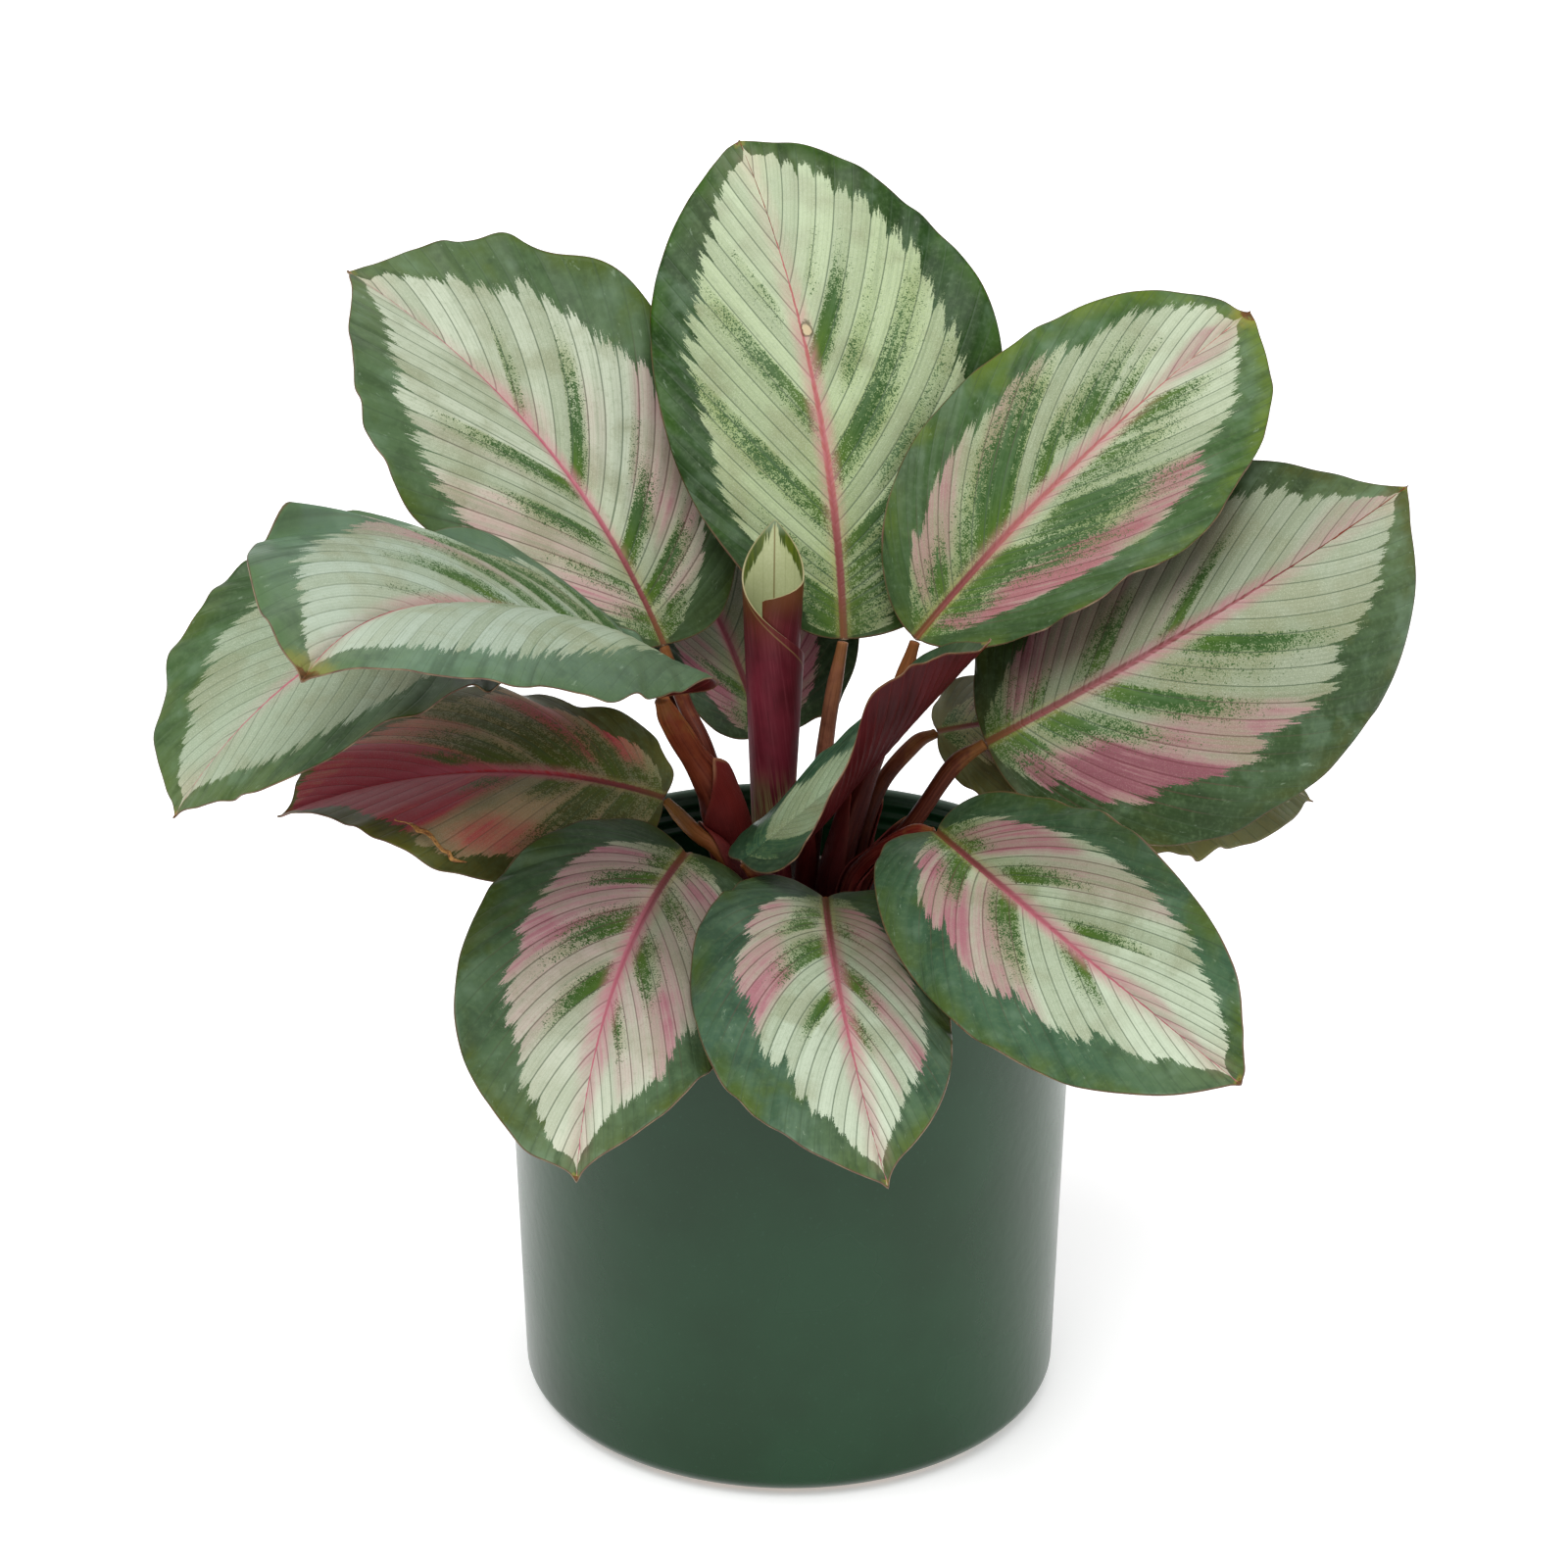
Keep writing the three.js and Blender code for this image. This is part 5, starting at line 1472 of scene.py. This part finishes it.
    # dried spots: the tip, brown with a yellow front, and a scar with a dark ring
    front = web.math("DIVIDE", add(to_tip, sway(mottle, 5)), given["Dry"])
    scar_ahead, scar_aside, scar_size = web.parts(given["Scar"])
    off = length_of(times(less(ahead, scar_ahead), 0.6), less(aside, scar_aside))
    off = web.math("DIVIDE", add(off, sway(mottle, 2)), scar_size)
    rim = step(to_margin, 0.12, 0.45, 1, 0)
    web.feed(result["Color"], coats(
        tone,
        (step(front, 0.9, 1.9, 0.5, 0), (132, 124, 40)),
        (step(front, 0.55, 0.85, 0.9, 0), mix(step(mottle, 0.4, 0.65), (92, 54, 24), (58, 32, 16))),
        (step(off, 1.1, 1.5, 0.7, 0), (62, 54, 26)),
        (step(off, 0.7, 1.0, 1, 0), (176, 160, 128)),
        (times(rim, 0.7), (84, 60, 38)),
    ))
    web.feed(result["Roughness"], add(step(cloud, 0.3, 0.7, 0.34, 0.46), times(silvery, 0.05)))
    sunk = times(step(from_vein, 0.0, 0.5, 1, 0), step(spacing, 1.0, 3.0, 0, -0.6))
    web.feed(result["Height"], add(sunk, add(times(streak, 0.5), times(pearl, 0.25))))
    return group


def upper_material(name, leaf):
    material, web, shader = new_material(name)
    place, share, radius = leaf["scar"]
    x, y = flat_blade(leaf, share, np.array([place]), np.array([abs(share)]))
    fed = {**TINTS, **leaf["tints"], **{key: leaf[key] for key in ("halo", "dry", "shine", "veins")}}
    fed["scar"] = (leaf["length"] - x[0], math.copysign(y[0], share), radius)
    fed = {key.capitalize(): value for key, value in fed.items()}
    made = web.node("ShaderNodeGroup", fed, node_tree=LEAF_PATTERN).outputs
    relief = web.relief(made["Height"], 0.35, 0.0003)
    finish_material(web, shader, made["Color"], made["Roughness"], relief, 0.16)
    return material


def under_material():
    """The under face: burgundy with a satin sheen, paler raised veins and a pale edge."""
    material, web, shader = new_material("blade_underside")
    s, t, seed = web.note("vein")
    from_rib, spacing, to_margin = web.note("flat")
    where = web.place()
    cloud = web.noise(where, 60, 3, 0.55)
    pearl = web.noise(where, 2800)
    centre = web.absolute(web.less(web.math("FRACT", web.times(s, SIDE_VEINS)), 0.5))
    from_vein = web.times(web.less(0.5, centre), spacing)
    streak = web.noise(web.point(web.times(s, 120), web.times(web.absolute(t), 2.2), seed), 1, 3)
    tone = web.coats(
        (46, 7, 9),
        (web.step(cloud, 0.3, 0.7), (66, 13, 17)),
        (web.step(streak, 0.45, 0.75, 0, 0.25), (88, 36, 38)),
        (web.times(web.step(from_vein, 0.1, 0.4, 1, 0), 0.3), (88, 32, 32)),
        (web.step(from_rib, 0.9, 1.5, 1, 0), (104, 42, 28)),
        (web.step(to_margin, 0.15, 0.6, 0.6, 0), (104, 76, 50)),
    )
    height = web.add(web.times(web.step(from_vein, 0, 0.5, 1, 0), 0.8), web.times(pearl, 0.3))
    roughness = web.step(cloud, 0.3, 0.7, 0.34, 0.46)
    finish_material(web, shader, tone, roughness, web.relief(height, 0.4, 0.0003), 0.07)
    return material


def rim_material():
    """The blade's own edge, a thin pale brown line."""
    material, web, shader = new_material("blade_rim")
    patches = web.noise(web.place(), 300)
    tone = web.mix(web.step(patches, 0.35, 0.65), (112, 90, 62), (82, 52, 38))
    finish_material(web, shader, tone, web.step(patches, 0.3, 0.7, 0.45, 0.6))
    return material


LEAF_PATTERN = leaf_pattern()
under = under_material()
rim = rim_material()
LEAVES = {name: {**USUAL, **leaf, "base": STALKS[name]["base"]} for name, leaf in LEAVES.items()}
for seed, (name, leaf) in enumerate(LEAVES.items(), 1):
    upper = upper_material("blade_" + name, leaf)
    finish_piece(blade("leaf_" + name, leaf, seed, [upper, under, rim]), "blade_" + name)


# A strip of the left leaf's near margin has torn and dried. It is the same thin blade, tan by now,
# and it stands a millimetre or two off the leaf, a little twisted along its length.
STRIP_STEPS = 44
STRIP_COLUMNS = 5
STRIP_THICKNESS = 0.22
# the places of its two ends: the side vein that they lie on, and the share of the way to the margin
STRIP_START = (0.735, 0.79)
STRIP_END = (0.585, 0.915)
STRIP_HALF_WIDTH = 0.016
STRIP_LIFT = 0.9
STRIP_BOW = 1.2
STRIP_TWIST = 0.35
STRIP_TWISTS = 13
# how far from a point its ends stop, and how far and how fast its line wavers, for vein and share
STRIP_BLUNTNESS = 0.04
STRIP_WAVERS = ((0.004, 17), (0.01, 23))
torn_from = LEAVES["left"]
run, side_of_strip = np.meshgrid(
    np.linspace(0, 1, STRIP_STEPS + 1), np.linspace(-1, 1, STRIP_COLUMNS), indexing="ij"
)
width = STRIP_HALF_WIDTH * np.sin(math.pi * (STRIP_BLUNTNESS + (1 - 2 * STRIP_BLUNTNESS) * run)) ** 0.6
q, t = (
    start + (end - start) * run + far * np.sin(fast * run)
    for start, end, (far, fast) in zip(STRIP_START, STRIP_END, STRIP_WAVERS)
)
t = t + width * side_of_strip
stations = midrib(torn_from)
strip = grown_half(torn_from, stations, 1, q, t)
along = grown_half(torn_from, stations, 1, q + SHARE_STEP, t) - strip
across = grown_half(torn_from, stations, 1, q, t + SHARE_STEP) - strip
away = np.cross(along, across)
away /= np.linalg.norm(away, axis=2, keepdims=True)
lift = STRIP_LIFT + STRIP_BOW * np.sin(math.pi * run) ** 2
lift = lift + STRIP_TWIST * side_of_strip * np.sin(STRIP_TWISTS * run)
strip = strip + away * lift[..., None]
torn, web, shader = new_material("dried_strip")
grain = web.noise(web.place(), 900, 3, 0.6)
finish_material(web, shader, web.mix(web.step(grain, 0.35, 0.65), (186, 136, 70), (120, 74, 34)), 0.7)
finish_piece(thin_sheet("leaf_left_torn_strip", strip[::-1], STRIP_THICKNESS, [torn], {}))


# The youngest leaf is still furled: one blade rolled into a tight spiral, burgundy outside, with the
# pale inside showing where its pointed mouth has begun to open.
FURL_FOOT = (-5, 7.5, 163)
FURL_HEAD = (-4, 11.5, 250.5)
FURL_THICKNESS = 0.42
FURL_LAYER = 1.3
FURL_FOOT_RADIUS = 4.9
FURL_MOUTH_RADIUS = 8.3
FURL_MOUTH_DROP = 14
FURL_TIP_SLOPE = 1.05
FURL_OUTER_TURN = 300
FURL_INNER_TURN = 205
FURL_SIDE_DROP = 14.5
FURL_LIP_SLOPE = 0.25
FURL_ROWS = 150
FURL_COLUMNS = 170


def furled_grid():
    foot, head = np.array(FURL_FOOT, float), np.array(FURL_HEAD, float)
    height = head[2] - foot[2]
    rise = np.linspace(0, 1, FURL_ROWS + 1)
    drop = height * (1 - rise)
    flare = np.minimum(1, (height - drop) / (height - FURL_MOUTH_DROP))
    radius = FURL_FOOT_RADIUS + (FURL_MOUTH_RADIUS - FURL_FOOT_RADIUS) * flare
    # the outer margin falls evenly round the roll; the inner one falls to the side, then runs nearly
    # level across the front
    outer = np.minimum(np.degrees(drop / FURL_TIP_SLOPE / radius), FURL_OUTER_TURN)
    past_side = np.maximum(drop - FURL_SIDE_DROP, 0) / FURL_LIP_SLOPE
    inner = np.degrees((np.minimum(drop, FURL_SIDE_DROP) / FURL_TIP_SLOPE + past_side) / radius)
    inner = np.minimum(inner, FURL_INNER_TURN)
    place = np.linspace(-1, 1, FURL_COLUMNS + 1)
    turn = np.radians(place * np.where(place > 0, outer[:, None], inner[:, None]))
    reach = radius[:, None] + FURL_LAYER * turn / (2 * math.pi)
    centre = foot + (head - foot) * rise[:, None]
    outward = np.stack([-np.sin(turn), np.cos(turn), np.zeros_like(turn)], -1)
    grid = centre[:, None, :] + outward * reach[..., None]
    across = turn * reach
    to_margin = np.zeros_like(turn)
    for column in range(len(place)):
        edge = np.radians(outer if place[column] > 0 else inner) * radius
        apart = np.abs(across[:, column])[:, None] - edge[None, :]
        to_margin[:, column] = np.hypot(apart, drop[:, None] - drop[None, :]).min(axis=1)
    note = np.stack([across, np.broadcast_to(drop[:, None], turn.shape), to_margin], -1)
    return grid[:, ::-1], note[:, ::-1]


def furled_inside():
    """Pale green with olive margins and fine long veins."""
    material, web, shader = new_material("furled_inside")
    across, drop, to_margin = web.note("furl")
    grain = web.noise(web.place(), 1500, 3, 0.6)
    streak = web.noise(web.point(web.times(across, 1.6), web.times(drop, 0.06), 2), 1, 3, 0.6)
    lines = web.step(web.math("PINGPONG", across, 1.6), 0.0, 0.18, 0.5, 0)
    olive = web.less(web.add(to_margin, web.sway(streak, 4)), web.step(drop, 1.0, 9.0, 0.8, 3.2))
    deep = web.coats(
        (56, 74, 2),
        (web.step(streak, 0.4, 0.65), (84, 98, 8)),
        (web.step(drop, 1.5, 5.0, 0.75, 0), (126, 142, 112)),
    )
    tone = web.coats(
        (172, 178, 132),
        (web.step(grain, 0.4, 0.7, 0, 0.4), (190, 194, 152)),
        (web.times(lines, 0.8), (126, 134, 84)),
        (web.step(web.absolute(across), 0.12, 0.34, 0.75, 0), (112, 92, 40)),
        (web.step(olive, -0.2, 0.35, 1, 0), deep),
        (web.step(to_margin, 0.1, 0.4, 0.6, 0), (140, 140, 96)),
    )
    roughness = web.step(grain, 0.3, 0.7, 0.38, 0.48)
    finish_material(web, shader, tone, roughness, web.relief(streak, 0.3, 0.0003))
    return material


def furled_outside():
    """Burgundy satin; the lip by the mouth is olive brown, and a green flush runs up from the foot."""
    material, web, shader = new_material("furled_outside")
    across, drop, to_margin = web.note("furl")
    cloud = web.noise(web.place(), 70, 3, 0.55)
    streak = web.noise(web.point(web.times(across, 1.3), web.times(drop, 0.05), 5), 1, 3, 0.6)
    lip = web.times(web.step(to_margin, 1.0, 12.0, 1, 0), web.step(drop, 12.0, 36.0, 1, 0))
    foot = web.times(web.step(drop, 64.0, 82.0), web.step(across, 1.0, 7.0))
    tone = web.coats(
        (68, 12, 22),
        (web.step(cloud, 0.3, 0.7), (94, 24, 38)),
        (web.step(streak, 0.45, 0.75, 0, 0.35), (116, 54, 62)),
        (web.step(streak, 0.25, 0.45, 0.45, 0), (48, 9, 14)),
        (web.times(lip, 0.85), (92, 56, 22)),
        (web.times(foot, web.step(streak, 0.4, 0.6)), (96, 92, 56)),
        (web.step(to_margin, 0.1, 0.45, 0.7, 0), (124, 100, 64)),
    )
    roughness = web.step(cloud, 0.3, 0.7, 0.44, 0.56)
    finish_material(web, shader, tone, roughness, web.relief(streak, 0.35, 0.0004), 0.16)
    return material


def furled_rim():
    """The edge of the roll, pale olive to brown."""
    material, web, shader = new_material("furled_rim")
    tone = web.mix(web.noise(web.place(), 300), (150, 146, 104), (112, 96, 58))
    finish_material(web, shader, tone, 0.55)
    return material


inside, outside, edge = furled_inside(), furled_outside(), furled_rim()
grid, note = furled_grid()
furled = thin_sheet("leaf_furled", grid, FURL_THICKNESS, [outside, inside, edge], {"furl": note})
finish_piece(furled, "blade_furled")


# The floor is a plain white sweep under broad soft light, seen from the front and a little above. It
# lies a hair's breadth below the pot's foot.
FLOOR_RADIUS = 6000
FLOOR_DROP = 0.3
FLOOR_SIDES = 90
turns = [2 * math.pi * k / FLOOR_SIDES for k in range(FLOOR_SIDES)]
floor_points = [(FLOOR_RADIUS * math.cos(a), FLOOR_RADIUS * math.sin(a), -FLOOR_DROP) for a in turns]
sweep, web, shader = new_material("white_sweep")
for label, value in {
    "Base Color": (0.92, 0.92, 0.92, 1),
    "Roughness": 0.9,
    "Specular IOR Level": 0.2,
    "Emission Color": (1, 1, 1, 1),
    "Emission Strength": 0.25,
}.items():
    shader.inputs[label].default_value = value
new_piece("floor", floor_points, [tuple(range(FLOOR_SIDES))], [sweep])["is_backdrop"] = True


def aimed(name, data, place, aim):
    made = in_scene(name, data)
    made.location = place
    made.rotation_euler = (Vector(aim) - Vector(place)).to_track_quat("-Z", "Y").to_euler()


overhead = bpy.data.lights.new("overhead", "SUN")
overhead.energy = 2.4
overhead.angle = math.radians(50)
aimed("overhead", overhead, (-0.5, -1.0, 2.5), (0, 0, 0))
side_panel = bpy.data.lights.new("side_panel", "AREA")
side_panel.shape = "DISK"
side_panel.size = 1.2
side_panel.energy = 8
aimed("side_panel", side_panel, (2.2, -0.6, 0.7), (0, 0, 0.15))
world = bpy.data.worlds.new("studio")
world.use_nodes = True
world.node_tree.nodes["Background"].inputs["Color"].default_value = (1, 1, 1, 1)
world.node_tree.nodes["Background"].inputs["Strength"].default_value = 0.85
bpy.context.scene.world = world
bpy.context.scene.view_settings.view_transform = "Standard"

camera = bpy.data.cameras.new("camera")
camera.lens = 76.5
camera.sensor_width = 36
camera.clip_end = 50
view = in_scene("camera", camera)
view.location = (-0.0015, -0.8561, 0.5092)
view.rotation_euler = (math.radians(69), 0, 0)
bpy.context.scene.camera = view

visual_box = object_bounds()


def plain(value):
    return [plain(v) for v in value] if hasattr(value, "__len__") else float(value)


{"cad": plain(cad_box), "visual": plain(visual_box)}
